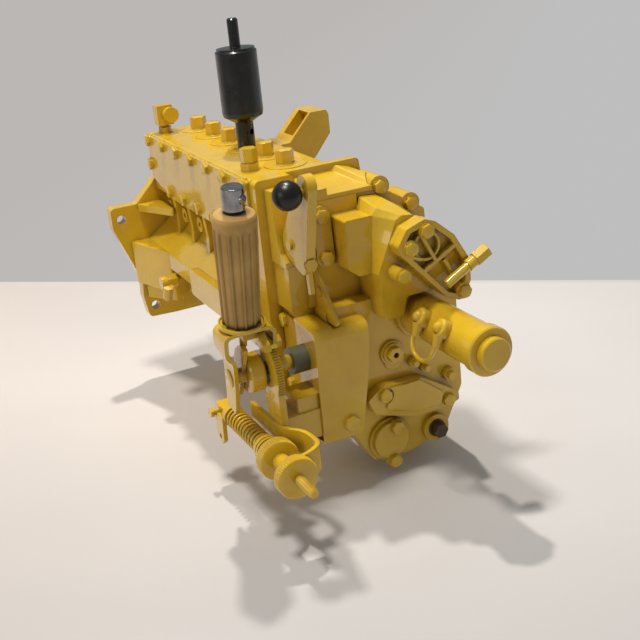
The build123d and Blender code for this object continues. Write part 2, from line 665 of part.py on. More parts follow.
def terminal_place(y):
    turn = math.radians(TERMINAL_ANGLE)
    x = SOLENOID_X + (SOLENOID_R - 1.0) * math.cos(turn)
    z = SOLENOID_Z + (SOLENOID_R - 1.0) * math.sin(turn)
    return Pos(x, y, z) * Rot(0, -TERMINAL_ANGLE + 90, 0)


def terminal_boots():
    """Moulded boots over the two ring terminals, each with its wire throat."""
    boots = []
    for y in TERMINAL_YS:
        boot = Cylinder(11, 7, align=(Align.CENTER, Align.CENTER, Align.MIN))
        boot += Pos(0, 0, 7) * Torus(7, 4)
        boot += Pos(0, 0, 9) * Sphere(7)
        boot += Pos(-14, 0, 4) * Rot(0, -100, 0) * Cone(7.5, 3.6, 16)
        boots.append(terminal_place(y) * boot)
    body = bar("y", SOLENOID_Y[0], SOLENOID_Y[1], SOLENOID_X, SOLENOID_Z, SOLENOID_R + 0.02)
    wire = jumper_wire()
    return Compound([boot - body - wire for boot in boots])


JUMPER_ROUTE = [
    (64, -514.5, 22), (58.5, -513, 12.5), (54, -513.5, 2), (51.5, -519.5, -7), (51.5, -530, -12),
    (52, -541.5, -11.5), (52.5, -551.5, -5), (55, -557, 5), (59.5, -558, 15.5), (65, -557, 25),
]
JUMPER_R = 2.6


def jumper_radii():
    radii = []
    for before, here, after in zip(JUMPER_ROUTE, JUMPER_ROUTE[1:], JUMPER_ROUTE[2:]):
        incoming = Vector(*here) - Vector(*before)
        outgoing = Vector(*after) - Vector(*here)
        turn = incoming.get_angle(outgoing)
        shorter = min(incoming.length, outgoing.length)
        radii.append(0.45 * shorter / math.tan(math.radians(turn) / 2))
    return radii


def jumper_wire():
    radii = jumper_radii()
    print("jumper wire bend radii", [round(radius, 1) for radius in radii])
    path = FilletPolyline(*JUMPER_ROUTE, radius=radii)
    start = Plane(origin=path @ 0, z_dir=path % 0)
    wire = sweep(start * Circle(JUMPER_R), path=path)
    print("jumper wire length", round(path.length, 1), "volume ratio",
          round(wire.volume / (math.pi * JUMPER_R ** 2 * path.length), 3))
    return wire


# ---------------------------------------------------------------- plugs and covers low on the front
SMALL_FITTINGS = [(80, -46, 6.0), (95, -56, 6.0), (128, -75, 8.0)]


def timing_plug():
    plug = bar("y", GOV_FRONT_Y - 4, GOV_FRONT_Y + 8, PLUG_X, PLUG_Z, 9)
    plug += bar("y", GOV_FRONT_Y - 7, GOV_FRONT_Y - 4, PLUG_X, PLUG_Z, 12.5)
    plug += hexbar("y", GOV_FRONT_Y - 13, GOV_FRONT_Y - 7, PLUG_X, PLUG_Z, 17)
    return plug - hexbar("y", GOV_FRONT_Y - 14, GOV_FRONT_Y - 5, PLUG_X, PLUG_Z, 6.4)


LUBE_Y = -125.0
LUBE_Z = 2.0


def hex_fittings():
    """Two small unions and a larger one on the governor front."""
    pieces = []
    for x, z, r in SMALL_FITTINGS:
        piece = bar("y", GOV_FRONT_Y, GOV_FRONT_Y + 7, x, z, r * 0.6)
        piece += hexbar("y", GOV_FRONT_Y - 8, GOV_FRONT_Y, x, z, r * 1.8)
        piece += bar("y", GOV_FRONT_Y - 14, GOV_FRONT_Y - 8, x, z, r * 0.62)
        pieces.append(piece)
    return Compound(pieces)


def lube_elbow():
    """Oil inlet elbow on the cam box: hexagon shoulder, then a round leg turned down."""
    elbow = bar("x", -95, -80, LUBE_Y, LUBE_Z, 6)
    elbow += hexbar("x", -99, -86.2, LUBE_Y, LUBE_Z, 17)
    elbow += bar("x", -108, -99, LUBE_Y, LUBE_Z, 8.5)
    elbow += Pos(-101, LUBE_Y - 5, LUBE_Z - 13) * Rot(28, 0, 0) * Cylinder(7, 22)
    return elbow


def inspection_plugs():
    plugs = []
    for y in ELEMENT_YS:
        plug = bar("x", -54, -46, y, 84, 7)
        plug += bar("x", -57, -54, y, 84, 10)
        plugs.append(plug - bar("x", -58, -54, y, 84, 3.2))
    return Compound(plugs)


def transfer_cover():
    low = LOZENGE_Y - PLATE_T
    plate = prism(LOZENGE, "y", low, LOZENGE_Y, 3)
    plate += prism(LOZENGE_RAISED, "y", low - 3, low, 3)
    for x, z in LOZENGE_BOLTS:
        plate -= bar("y", low - 4, low, x, z, 10)
        plate -= bar("y", low - 1, LOZENGE_Y + 1, x, z, BOLT_R + 0.2)
    return plate


def round_cover():
    disc = bar("y", GOV_FRONT_Y - 9, GOV_FRONT_Y - 4, ROUND_X, ROUND_Z, ROUND_R)
    for x, z in ROUND_BOLTS:
        disc += bar("y", GOV_FRONT_Y - 9, GOV_FRONT_Y - 4, x, z, 9.5)
    for x, z in ROUND_BOLTS:
        disc -= bar("y", GOV_FRONT_Y - 10, GOV_FRONT_Y - 3, x, z, BOLT_R + 0.2)
    return disc


def drain_plug():
    plug = bar("y", GOV_FRONT_Y - 6, GOV_FRONT_Y + 10, DRAIN_X, DRAIN_Z, 8)
    plug += bar("y", GOV_FRONT_Y - 8, GOV_FRONT_Y - 6, DRAIN_X, DRAIN_Z, 11)
    return plug + hexbar("y", GOV_FRONT_Y - 18, GOV_FRONT_Y - 8, DRAIN_X, DRAIN_Z, 16)


# ---------------------------------------------------------------- linkage cover beside the throttle
SHEET_FRONT_Y = -484.0
COVER_OUTLINE = [(-50, 38), (17, 38), (17, 10), (12.5, -34), (-1, -109), (-50, -116)]
SHEET_T = 3.0
SIDE_PLATE_X = (-47.0, -44.0)
SIDE_PLATE_BOLTS = [(-400, 20), (-424, -98), (-404, -60)]


def linkage_cover():
    """Folded sheet box: front, rounded top and slanting right side, open at the left."""
    outer = [(-404, 34), (SHEET_FRONT_Y, 28), (SHEET_FRONT_Y, -106), (-404, -112)]
    solid = prism(outer, "x", -50, 20)
    solid = fillet(solid.edges().filter_by(Axis.X).sort_by(Axis.Y)[:2].sort_by(Axis.Z)[-1], 12)
    solid &= prism(COVER_OUTLINE, "y", SHEET_FRONT_Y - 1, -400)
    inner = [(-380, 31), (SHEET_FRONT_Y + SHEET_T, 25), (SHEET_FRONT_Y + SHEET_T, -104),
             (-380, -116)]
    hollow = prism(inner, "x", -53, 20)
    hollow = fillet(hollow.edges().filter_by(Axis.X).sort_by(Axis.Y)[:2].sort_by(Axis.Z)[-1], 9)
    shifted = [(x - SHEET_T, z) for x, z in COVER_OUTLINE]
    hollow &= prism(shifted, "y", SHEET_FRONT_Y - 1, -370)
    sheet = solid - hollow
    sheet -= block(-60, 30, -440, -380, -130, 26)
    sheet -= block(-25.5, 40, GOV_FRONT_Y, -400, -130, 60)
    sheet -= block(-24, -16, -500, -400, 27, 60)
    sheet -= block(-52, 30, GOV_SPLIT_Y, -400, -130, 66)
    sheet -= bar("y", SHEET_FRONT_Y - 1, SHEET_FRONT_Y + 5, *COVER_SHEET_BOLT, BOLT_R + 0.2)
    return sheet


def linkage_side_plate():
    outline = [(-394, 29), (-476, 23), (-476, -100), (-394, -106)]
    plate = prism(outline, "x", *SIDE_PLATE_X, 3)
    for y, z in SIDE_PLATE_BOLTS:
        plate -= bar("x", SIDE_PLATE_X[0] - 1, SIDE_PLATE_X[1] + 1, y, z, BOLT_R + 0.2)
    return plate - bar("x", -50, -40, THROTTLE_Y, THROTTLE_Z, 12)


def shaft_seal():
    seal = bar("x", -66, -47, THROTTLE_Y, THROTTLE_Z, 15.5)
    seal += bar("x", -47, -42, THROTTLE_Y, THROTTLE_Z, 11.9)
    return seal - bar("x", -67, -40, THROTTLE_Y, THROTTLE_Z, 8.5 + FIT)


# ---------------------------------------------------------------- hand throttle
def on_lever(shape):
    """Place a shape drawn with its shaft at the origin and the grip up Z."""
    return Pos(LEVER_X, THROTTLE_Y, THROTTLE_Z) * Rot(LEVER_LEAN, 0, 0) * shape


def throttle_shaft():
    shaft = bar("x", -149, 6, THROTTLE_Y, THROTTLE_Z, 8.5)
    arm = prism([(-6, 0), (6, 0), (3, 13), (-3, 13)], "x", -6, 6, 1.5)
    return shaft + Pos(0, THROTTLE_Y, THROTTLE_Z) * arm


def throttle_yoke():
    """Bent strap: a long left leg to the shaft, a flat top and a short right leg."""
    outer = [(-33, 62), (34, 62), (34, 30), (29.5, 30), (29.5, 57.5), (-28.5, 57.5), (-28.5, 24),
             (-21, 10), (-21, -30), (-17, -40), (-23, -40), (-25.5, -30), (-25.5, 12), (-33, 26)]
    strap = prism(outer, "y", -16, 16, 1.5)
    hub = bar("x", -21, 12, 0, 0, 13)
    strap -= bar("z", 50, 70, 0, 0, 3.6)
    return strap + hub


def throttle_grip():
    """Tapered grip with eight scooped flutes and a rounded shoulder at each end."""
    low, high = GRIP_Z
    profile = [(4.0, low), (20.5, low), (21.5, low + 3), (GRIP_R, high - 16), (GRIP_R, high - 6),
               (GRIP_R - 2, high - 1.6), (GRIP_R - 5, high), (4.0, high)]
    face = make_face(Plane.XZ * Polyline(*profile, close=True))
    grip = revolve(face, Axis.Z)
    for step in range(10):
        flute = bar("z", low - 1, high - 26, GRIP_R + 1.4, 0, 3.6)
        flute += Pos(GRIP_R + 1.4, 0, high - 26) * Sphere(3.6)
        grip -= Rot(0, 0, 36 * step + 18) * flute
    return grip


def release_button():
    """Steel button pinned to the rod that runs down the grip."""
    low = GRIP_Z[1] + 3.4
    button = bar("z", low, low + 24, 0, 0, 12)
    button = chamfer(button.edges().filter_by(GeomType.CIRCLE).sort_by(Axis.Z)[-1], 1.2)
    button += bar("z", 56.6, low, 0, 0, 3)
    pin = Rot(0, 0, -60) * bar("x", 9, 13.2, 0, low + 12, 5)
    slot = Rot(0, 0, -60) * Pos(13, 0, low + 12) * Rot(35, 0, 0) * Box(2, 1.6, 12)
    return button + pin - slot


PAWL_PIVOT = (-10.0, 52.0)
PAWL_X = (11.0, 19.0)    # across the lever, measured from its middle plane
SECTOR_PITCH = 4.0       # degrees from one sector tooth to the next
SECTOR_TEETH = 33
SECTOR_FIRST = 97.5      # first tooth, measured from +Y towards +Z
TOOTH_ANGLE = 33.0       # place of the pawl's tooth on the sector, from the lever's line


def pawl():
    """Rocker that hooks the sector's teeth; the button's rod tips it clear."""
    outline = [(5.5, 50.0), (5.5, 55.0), (-12, 56.5), (-30, 48), (-34, 40), (-26, 42), (-20, 47)]
    arm = prism(outline, "x", *PAWL_X, 1.0)
    bridge = prism(outline[:3] + [(-14, 50)], "x", -5, PAWL_X[0] + 1)
    turn = math.radians(TOOTH_ANGLE)
    near, far = SECTOR_R + GAP, SECTOR_R + 7
    tooth = [(-near * math.sin(turn), near * math.cos(turn))]
    for radius, half in ((far, 0.05), (far, -0.05)):
        tooth.append((-radius * math.sin(turn + half), radius * math.cos(turn + half)))
    hook = prism(tooth, "x", PAWL_X[0], SECTOR_X[1] - LEVER_X)
    return arm + bridge + hook + bar("x", PAWL_X[0] - 3, PAWL_X[1] + 2, *PAWL_PIVOT, 3)


def ratchet_sector():
    """Toothed quadrant round the throttle shaft, fixed to the throttle bracket."""
    thick = SECTOR_X[1] - SECTOR_X[0]
    ring = Circle(SECTOR_R - 1.6) - Circle(29)
    wedge = make_face(Polyline((8, 80), (-80, 80), (-80, -80), (-14, -80), (8, 0), close=True))
    plate = extrude(ring & wedge, amount=thick)
    tooth_face = make_face(Polyline((SECTOR_R - 2.4, -1.45), (SECTOR_R, -0.35), (SECTOR_R, 0.35),
                                    (SECTOR_R - 2.4, 1.45), close=True))
    tooth = extrude(tooth_face, amount=thick)
    for step in range(SECTOR_TEETH):
        plate += Rot(0, 0, SECTOR_FIRST + SECTOR_PITCH * step) * tooth
    foot = make_face(Polyline((-24, -30), (-40, -18), (-41, -60), (-6, -60), (-6, -38), close=True))
    plate += extrude(foot, amount=thick)
    plane = Plane(origin=(SECTOR_X[0], THROTTLE_Y, THROTTLE_Z), x_dir=(0, 1, 0), z_dir=(1, 0, 0))
    return plane * plate


def throttle_bracket():
    """Stepped block between the side plate and the sector."""
    lower = block(-91.9, SIDE_PLATE_X[0], -480.5, -434, -96, -62)
    upper = block(-76, SIDE_PLATE_X[0], -478, -440, -62, -44)
    return lower + upper


def throttle_lever():
    """Shaft, hub, yoke and the cupped collar under the grip, welded into one."""
    collar = bar("z", 62, 68, 0, 0, 26) - bar("z", 61, 69, 0, 0, 20)
    collar -= bar("z", 66, 70, 0, 0, 24)
    return on_lever(throttle_yoke() + collar) + throttle_shaft()


# ---------------------------------------------------------------- shut-off lever
BALL_X = -63.0
BALL_R = 16.0
BALL_Y = -482.0
BALL_Z = 187.0


def shutoff_lever():
    """Thick flat lever: a wide hub on its shaft, a round top for the knob, a short tail."""
    places = [(SHUTOFF_Y, SHUTOFF_Z, 20), (-484, 193, 13), (-462, 100, 9)]
    edges = ShapeList()
    for y, z, r in places:
        edges += (Pos(y, z) * Circle(r)).edges()
    outline = make_hull(edges)
    plane = Plane(origin=(SHUTOFF_X[0], 0, 0), x_dir=(0, 1, 0), z_dir=(1, 0, 0))
    plate = extrude(plane * outline, amount=SHUTOFF_X[1] - SHUTOFF_X[0])
    plate += bar("x", -49, -21.5, SHUTOFF_Y, SHUTOFF_Z, 6)
    plate += bar("x", -50, -46, BALL_Y, BALL_Z, 5)
    plate += bolt("y", -470.5, -1, -40.5, 104, 4, across=13)
    tail = prism([(-462, 104), (-470, 98), (-472, 70), (-465, 68)], "x", -43, -38, 1)
    return plate + tail


def ball_knob():
    ball = Pos(BALL_X, BALL_Y, BALL_Z) * Sphere(BALL_R)
    return ball - bar("x", -54, -44, BALL_Y, BALL_Z, 5.02) - block(-50, -40, -520, -440, 150, 230)


# ---------------------------------------------------------------- speed adjuster
ROD_Y = (-603.0, -356.0)
TAB_Y = (-551.0, -546.0)
WHEEL_YS = (-519.0, -504.0)
LOCK_YS = (-566.0, -551.3)
SPRING_YS = (-478.0, -390.0)
SPRING_R = 11.0
SPRING_WIRE_R = 1.5
SPRING_TURNS = 11


def adjuster_rod():
    """Threaded rod with a forked end, its cross pin and the hanging eye tab."""
    rod = bar("y", ROD_Y[0], ROD_Y[1], ROD_X, ROD_Z, ROD_R)
    rod = chamfer(rod.edges().filter_by(GeomType.CIRCLE).sort_by(Axis.Y)[0], 1.5)
    rod += bar("y", -389.5, -380, ROD_X, ROD_Z, 13)
    rod += block(-129, -111, -384, -352, ROD_Z - 8, ROD_Z + 8)
    rod += bar("x", -138, -106, -362, ROD_Z, 4)
    rod += hexbar("x", -141, -137, -362, ROD_Z, 11)
    tab = [(-360, ROD_Z), (-384, ROD_Z), (-380, -120), (-374, -126), (-366, -126), (-361, -118)]
    rod += prism(tab, "x", -134, -129, 2)
    return rod - bar("x", -136, -126, -370, -117, 3.4)


def adjuster_spring():
    low, high = SPRING_YS
    helix = Helix(pitch=(high - low - 3) / SPRING_TURNS, height=high - low - 3, radius=SPRING_R)
    start = Plane(origin=helix @ 0, z_dir=helix % 0)
    coil = sweep(start * Circle(SPRING_WIRE_R), path=helix, is_frenet=True)
    return Pos(ROD_X, low + 1.5, ROD_Z) * Rot(-90, 0, 0) * coil


def adjuster_wheel():
    """Knurled wheel with the stepped spring seat on its engine side and a hub in front."""
    wheel = bar("y", WHEEL_YS[0], WHEEL_YS[1], ROD_X, ROD_Z, WHEEL_R)
    wheel += bar("y", TAB_Y[1] + GAP, WHEEL_YS[0], ROD_X, ROD_Z, 10)
    for low, high, radius in ((-504, -496, 17), (-496, -492, 12), (-492, -488, 16),
                              (-488, -485, 12), (-485, -479, 15)):
        wheel += bar("y", low, high, ROD_X, ROD_Z, radius)
    return wheel - bar("y", -560, -470, ROD_X, ROD_Z, ROD_R + FIT)


def lock_wheel():
    wheel = bar("y", *LOCK_YS, ROD_X, ROD_Z, WHEEL_R)
    wheel = chamfer(wheel.edges().filter_by(GeomType.CIRCLE).sort_by(Axis.Y)[0], 1)
    return wheel - bar("y", -570, -540, ROD_X, ROD_Z, ROD_R + FIT)


def adjuster_strap():
    """Flat strip bent in an S: from the bracket, past the wheel, to the tab on the rod."""
    y0, y1 = TAB_Y
    outline = [(-92, -440), (-92, -486), (-80, -508), (-76, -530), (-84, y1), (-134, y1), (-134, y0),
               (-81, y0), (-71, -532), (-75, -506), (-87, -484), (-87, -440)]
    strip = prism(outline, "z", -104, -62, 2)
    strip -= block(-91.9, -47, -480.5, -434, -96, -43)
    strip += block(-100, -92, -486, -440, -104, -74)
    return strip - bar("y", y0 - 1, y1 + 1, ROD_X, ROD_Z, ROD_R + 0.6)


# ---------------------------------------------------------------- governor movement
CARRIER_Y = (-402.0, SHAFT_END_Y)
WEIGHT_PIVOT = (-406.0, 17.0)    # Y and distance from the camshaft axis
SPINDLE_R = 3.0


def flyweight_carrier():
    """Disc and collar on the camshaft's end, with two pairs of ears and the sleeve's spindle."""
    disc = bar("y", *CARRIER_Y, 0, 0, 19)
    collar = bar("y", SHAFT_END_Y, -384, 0, 0, 18) - bar("y", -399, -383, 0, 0, SHAFT_NOSE_R)
    disc += collar
    for side in (1, -1):
        ear = block(-9, -6, -409.5, -402, 12, 20.4) + block(6, 9, -409.5, -402, 12, 20.4)
        ear += bar("x", -9, 9, *WEIGHT_PIVOT, 1.5)
        disc += Rot(0, 90 - 90 * side, 0) * ear
    return disc + bar("y", -430, -402, 0, 0, SPINDLE_R)


def flyweight(side):
    """L-shaped weight: its mass lies along the axis, its toe bears on the sleeve."""
    weight = block(-5.6, 5.6, -409, -403, 10, 20)
    weight += block(-5.6, 5.6, -424, -403, 19, 28)
    weight += block(-12, 12, -424, -411, 17, 29)
    weight -= bar("x", -7, 7, *WEIGHT_PIVOT, 1.5 + FIT)
    return Rot(0, 90 - 90 * side, 0) * weight


def thrust_sleeve():
    sleeve = bar("y", -426, -412, 0, 0, 8) + bar("y", -412, -409.3, 0, 0, 12)
    return sleeve - bar("y", -440, -400, 0, 0, SPINDLE_R + FIT)


# ---------------------------------------------------------------- write every node
def build_all():
    nodes = {
        "pump_housing": pump_housing(),
        "side_cover": side_cover(),
        "pump_barrels": pump_barrels(),
        "outlet_caps": outlet_caps(),
        "rack": rack(),
        "camshaft": camshaft(),
        "bleed_elbow": bleed_elbow(),
        "top_plug": top_plug(),
        "lifting_adapter": lifting_adapter(),
        "support_lug": support_lug(),
        "governor_center_housing": governor_center_housing(),
        "governor_front_housing": governor_front_housing(),
        "governor_top_cover": governor_top_cover(),
        "cover_bolts": Compound(side_cover_bolts() + governor_bolts()),
        "access_strap": access_strap(),
        "end_cover": end_cover(),
        "end_fitting": end_fitting(),
        "solenoid_body": solenoid_body(),
        "solenoid_plunger": solenoid_plunger(),
        "terminal_boots": terminal_boots(),
        "jumper_wire": jumper_wire(),
        "timing_plug": timing_plug(),
        "hex_fittings": hex_fittings(),
        "lube_elbow": lube_elbow(),
        "inspection_plugs": inspection_plugs(),
        "transfer_cover": transfer_cover(),
        "round_cover": round_cover(),
        "drain_plug": drain_plug(),
        "linkage_cover": linkage_cover(),
        "linkage_side_plate": linkage_side_plate(),
        "shaft_seal": shaft_seal(),
        "throttle_bracket": throttle_bracket(),
        "ratchet_sector": ratchet_sector(),
        "throttle_lever": throttle_lever(),
        "throttle_grip": on_lever(throttle_grip()),
        "release_button": on_lever(release_button()),
        "pawl": on_lever(pawl()),
        "shutoff_lever": shutoff_lever(),
        "ball_knob": ball_knob(),
        "adjuster_rod": adjuster_rod(),
        "adjuster_spring": adjuster_spring(),
        "adjuster_wheel": adjuster_wheel(),
        "lock_wheel": lock_wheel(),
        "adjuster_strap": adjuster_strap(),
        "flyweight_carrier": flyweight_carrier(),
        "flyweight_1": flyweight(1),
        "flyweight_2": flyweight(-1),
        "thrust_sleeve": thrust_sleeve(),
    }
    for number in range(ELEMENTS):
        nodes["metering_gear_" + str(number + 1)] = metering_gear(number)
        nodes["lifter_" + str(number + 1)] = lifter(number)
    return nodes


for node_name, node_shape in build_all().items():
    save(node_shape, node_name)
print("wrote every node")
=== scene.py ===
# %% [markdown]
# # A diesel injection pump in glossy yellow enamel
#
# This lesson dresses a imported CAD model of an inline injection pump. The castings, levers
# and shafts come from the CAD, already in place and already riding on their bodies. What is
# left for Blender is what a CAD solid cannot carry: paint that runs and pools, the knurls,
# threads and chamfers of the small parts, and the light.

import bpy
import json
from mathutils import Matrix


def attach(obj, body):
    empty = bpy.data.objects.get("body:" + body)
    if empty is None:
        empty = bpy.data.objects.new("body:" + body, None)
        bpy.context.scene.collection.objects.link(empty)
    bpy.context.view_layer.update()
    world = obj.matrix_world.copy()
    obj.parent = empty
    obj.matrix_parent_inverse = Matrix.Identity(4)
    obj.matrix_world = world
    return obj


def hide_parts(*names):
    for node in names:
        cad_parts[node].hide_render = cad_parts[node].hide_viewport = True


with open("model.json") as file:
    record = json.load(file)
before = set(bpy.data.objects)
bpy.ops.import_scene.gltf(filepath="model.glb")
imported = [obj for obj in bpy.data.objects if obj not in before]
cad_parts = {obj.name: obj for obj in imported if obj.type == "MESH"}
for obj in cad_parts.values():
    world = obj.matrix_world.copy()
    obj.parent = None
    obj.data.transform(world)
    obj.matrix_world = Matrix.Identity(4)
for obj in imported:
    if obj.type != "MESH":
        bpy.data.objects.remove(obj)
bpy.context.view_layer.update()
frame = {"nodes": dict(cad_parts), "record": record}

# %% Modules for the rest of the lesson
import json
import math
import random

import bmesh
import bpy
from mathutils import Matrix, Vector

MM = 0.001
nodes = frame["nodes"]


def put_in_scene(name, data):
    obj = bpy.data.objects.new(name, data)
    bpy.context.scene.collection.objects.link(obj)
    return obj


print("CAD nodes to dress:", ", ".join(sorted(nodes)[:6]), "and so on")

# %% [markdown]
# ## The camera first
#
# The camera stands in front of the governor end, to the left of it and above it, and looks
# a little down. It is placed by its position and by its own right, up and forward
# directions, because a matrix of directions cannot be upset by the order of three angles.

# %% Camera
CAMERA_AT = Vector((-0.4914, -1.4771, 0.4757))
LOOK_RIGHT = Vector((0.8908, -0.4446, -0.0937))
LOOK_UP = Vector((0.2430, 0.2919, 0.9251))
LOOK_FORWARD = Vector((0.3839, 0.8468, -0.3681))
FOCAL_PIXELS = 1083.0
IMAGE_PIXELS = 640.0
SENSOR_MM = 36.0


def place_camera():
    data = bpy.data.cameras.new("camera")
    data.sensor_width = SENSOR_MM
    data.lens = FOCAL_PIXELS / IMAGE_PIXELS * SENSOR_MM
    data.clip_start = 0.05
    data.clip_end = 50.0
    camera = put_in_scene("camera", data)
    turn = Matrix((LOOK_RIGHT, LOOK_UP, -LOOK_FORWARD)).transposed().to_4x4()
    camera.matrix_world = Matrix.Translation(CAMERA_AT) @ turn
    bpy.context.scene.camera = camera
    return camera


camera = place_camera()
print("camera lens in mm:", round(camera.data.lens, 2))

# %% [markdown]
# ## A small bench for building materials
#
# Every finish below is a node tree. Short helpers keep the trees readable: one fills the
# sockets of a node by name, one joins two sockets, and one starts a material with a
# Principled shader and hands back what the rest of the recipe needs.


# %% Node helpers
def fill(node, **sockets):
    for name, value in sockets.items():
        node.inputs[name.replace("_", " ")].default_value = value


def add_node(tree, kind, **sockets):
    node = tree.nodes.new(kind)
    fill(node, **sockets)
    return node


def join(tree, source, target):
    tree.links.new(source, target)


def start_finish(name):
    finish = bpy.data.materials.new(name)
    finish.use_nodes = True
    tree = finish.node_tree
    tree.nodes.clear()
    shader = tree.nodes.new("ShaderNodeBsdfPrincipled")
    output = tree.nodes.new("ShaderNodeOutputMaterial")
    join(tree, shader.outputs["BSDF"], output.inputs["Surface"])
    place = tree.nodes.new("ShaderNodeTexCoord")
    return finish, tree, shader, place.outputs["Object"]


# %% [markdown]
# The next helpers are the vocabulary of the recipes: noise for anything that drifts, a
# remap that stretches it to a useful range, a mix of two colours, simple sums, and three
# that look at the shape itself. Bevel rounds the normals over edges, Bump raises grain, and
# Ambient Occlusion tells open faces from corners.


# %% Node vocabulary
def noise(tree, place, scale, detail=3.0, roughness=0.55):
    node = add_node(tree, "ShaderNodeTexNoise", Scale=scale, Detail=detail, Roughness=roughness)
    join(tree, place, node.inputs["Vector"])
    return node.outputs["Fac"]


def remap(tree, value, low, high, to_low, to_high):
    node = tree.nodes.new("ShaderNodeMapRange")
    fill(node, From_Min=low, From_Max=high, To_Min=to_low, To_Max=to_high)
    join(tree, value, node.inputs["Value"])
    return node.outputs["Result"]


def blend_colours(tree, factor, first, second):
    """Mix two colours; each is a socket or four numbers."""
    node = tree.nodes.new("ShaderNodeMix")
    node.data_type = "RGBA"
    join(tree, factor, node.inputs["Factor"])
    for socket, colour in ((node.inputs["A"], first), (node.inputs["B"], second)):
        if isinstance(colour, tuple):
            socket.default_value = colour
        else:
            join(tree, colour, socket)
    return node.outputs["Result"]


def math_node(tree, operation, first, second):
    node = tree.nodes.new("ShaderNodeMath")
    node.operation = operation
    for socket, value in zip(node.inputs, (first, second)):
        if isinstance(value, (int, float)):
            socket.default_value = value
        else:
            join(tree, value, socket)
    return node.outputs["Value"]


def soft_edges(tree, radius):
    """A normal rounded over edges, as poured and painted edges are."""
    node = add_node(tree, "ShaderNodeBevel", Radius=radius)
    node.samples = 4
    return node.outputs["Normal"]


def bumps(tree, height, strength, distance, normal=None):
    node = add_node(tree, "ShaderNodeBump", Strength=strength, Distance=distance)
    join(tree, height, node.inputs["Height"])
    if normal is not None:
        join(tree, normal, node.inputs["Normal"])
    return node.outputs["Normal"]


def hollows(tree, distance):
    """How open the surface is: 1 on open faces, towards 0 in corners."""
    node = add_node(tree, "ShaderNodeAmbientOcclusion", Distance=distance)
    node.samples = 6
    return node.outputs["AO"]


# %% [markdown]
# ## Yellow enamel
#
# The whole pump was sprayed after it was put together, bolts and all. Enamel over a sand
# casting shows a slow drift of colour where the coat is thicker and a grainy swell from the
# casting under it, and a brown darkening in corners that is painted shade mixed with grime and
# thick paint. The recipe has one layer for each, under a clear coat that gives the wet gloss.
# Machined parts such as caps and wheels get the same paint over a finer ground, so the
# grain and the roundness of the edges are arguments.

# %% Enamel recipe
ENAMEL = (0.715, 0.462, 0.026, 1.0)
ENAMEL_THICK = (0.620, 0.370, 0.016, 1.0)
CORNER_SHADE_AND_GRIME = (0.110, 0.062, 0.010, 1.0)
CORNER_REACH = 0.014      # how far from a corner the painted shade and grime go, in metres
SWELL_HEIGHT = 0.0012
PEEL_HEIGHT = 0.0004


def enamel(name, grain, edge, gloss=0.26):
    finish, tree, shader, place = start_finish(name)
    drift = remap(tree, noise(tree, place, 14.0, 4.0), 0.35, 0.70, 0.0, 1.0)
    colour = blend_colours(tree, drift, ENAMEL, ENAMEL_THICK)
    # painted shade mixed with grime: corners and hollows found by ambient occlusion are darkened to
    # dark brown
    openness = remap(tree, hollows(tree, CORNER_REACH), 0.15, 0.80, 0.0, 1.0)
    blotch = remap(tree, noise(tree, place, 90.0, 3.0), 0.30, 0.75, 0.75, 1.0)
    cover = math_node(tree, "MULTIPLY", openness, blotch)
    cover = math_node(tree, "ADD", cover, 0.25)
    colour = blend_colours(tree, cover, CORNER_SHADE_AND_GRIME, colour)
    join(tree, colour, shader.inputs["Base Color"])
    matt = remap(tree, noise(tree, place, 60.0, 5.0), 0.35, 0.75, gloss, gloss + 0.16)
    join(tree, matt, shader.inputs["Roughness"])
    swell = bumps(tree, noise(tree, place, 110.0, 4.0), grain, SWELL_HEIGHT,
                  soft_edges(tree, edge))
    peel = bumps(tree, noise(tree, place, 700.0, 2.0), grain * 0.2, PEEL_HEIGHT, swell)
    join(tree, peel, shader.inputs["Normal"])
    fill(shader, IOR=1.5, Specular_IOR_Level=0.15)
    fill(shader, Coat_Weight=0.8, Coat_Roughness=0.05, Coat_IOR=1.6)
    return finish


cast_enamel = enamel("cast_enamel", grain=0.30, edge=0.0022)
smooth_enamel = enamel("smooth_enamel", grain=0.012, edge=0.0007, gloss=0.20)
fine_enamel = enamel("fine_enamel", grain=0.05, edge=0.0001, gloss=0.22)
print("enamel finishes:", cast_enamel.name, smooth_enamel.name, fine_enamel.name)

# %% [markdown]
# ## Bare and black metals, rubber and the knob
#
# The release button and the bare shaft end are turned steel, so their noise is stretched
# into fine lines by a Mapping node. Worn patches are darker than the rest.


# %% Steel recipe
LATHE_LINES = (1.0, 1.0, 14.0)


def steel(name, colour, rough):
    finish, tree, shader, place = start_finish(name)
    lay = add_node(tree, "ShaderNodeMapping", Scale=LATHE_LINES)
    join(tree, place, lay.inputs["Vector"])
    lines = noise(tree, lay.outputs["Vector"], 220.0, 4.0)
    dark = tuple(channel * 0.62 for channel in colour[:3]) + (1.0,)
    worn = remap(tree, noise(tree, place, 70.0, 4.0), 0.4, 0.7, 0.0, 1.0)
    join(tree, blend_colours(tree, worn, colour, dark), shader.inputs["Base Color"])
    join(tree, remap(tree, lines, 0.3, 0.7, rough, rough + 0.15), shader.inputs["Roughness"])
    turned = bumps(tree, lines, 0.12, 0.0003, soft_edges(tree, 0.0006))
    join(tree, turned, shader.inputs["Normal"])
    fill(shader, Metallic=1.0)
    return finish


bright_steel = steel("bright_steel", (0.34, 0.34, 0.35, 1.0), 0.12)
bare_steel = steel("bare_steel", (0.42, 0.41, 0.39, 1.0), 0.34)
print("steels:", bright_steel.name, bare_steel.name)

# %% [markdown]
# The dark things differ in colour, gloss and wear, not in structure, so one recipe makes
# all four. The lifting tool is blackened steel, worn grey where it is handled. The knob is
# moulded plastic. The seal is rubber with a mist of paint on it, and the drain plug is
# thinly painted brown iron.


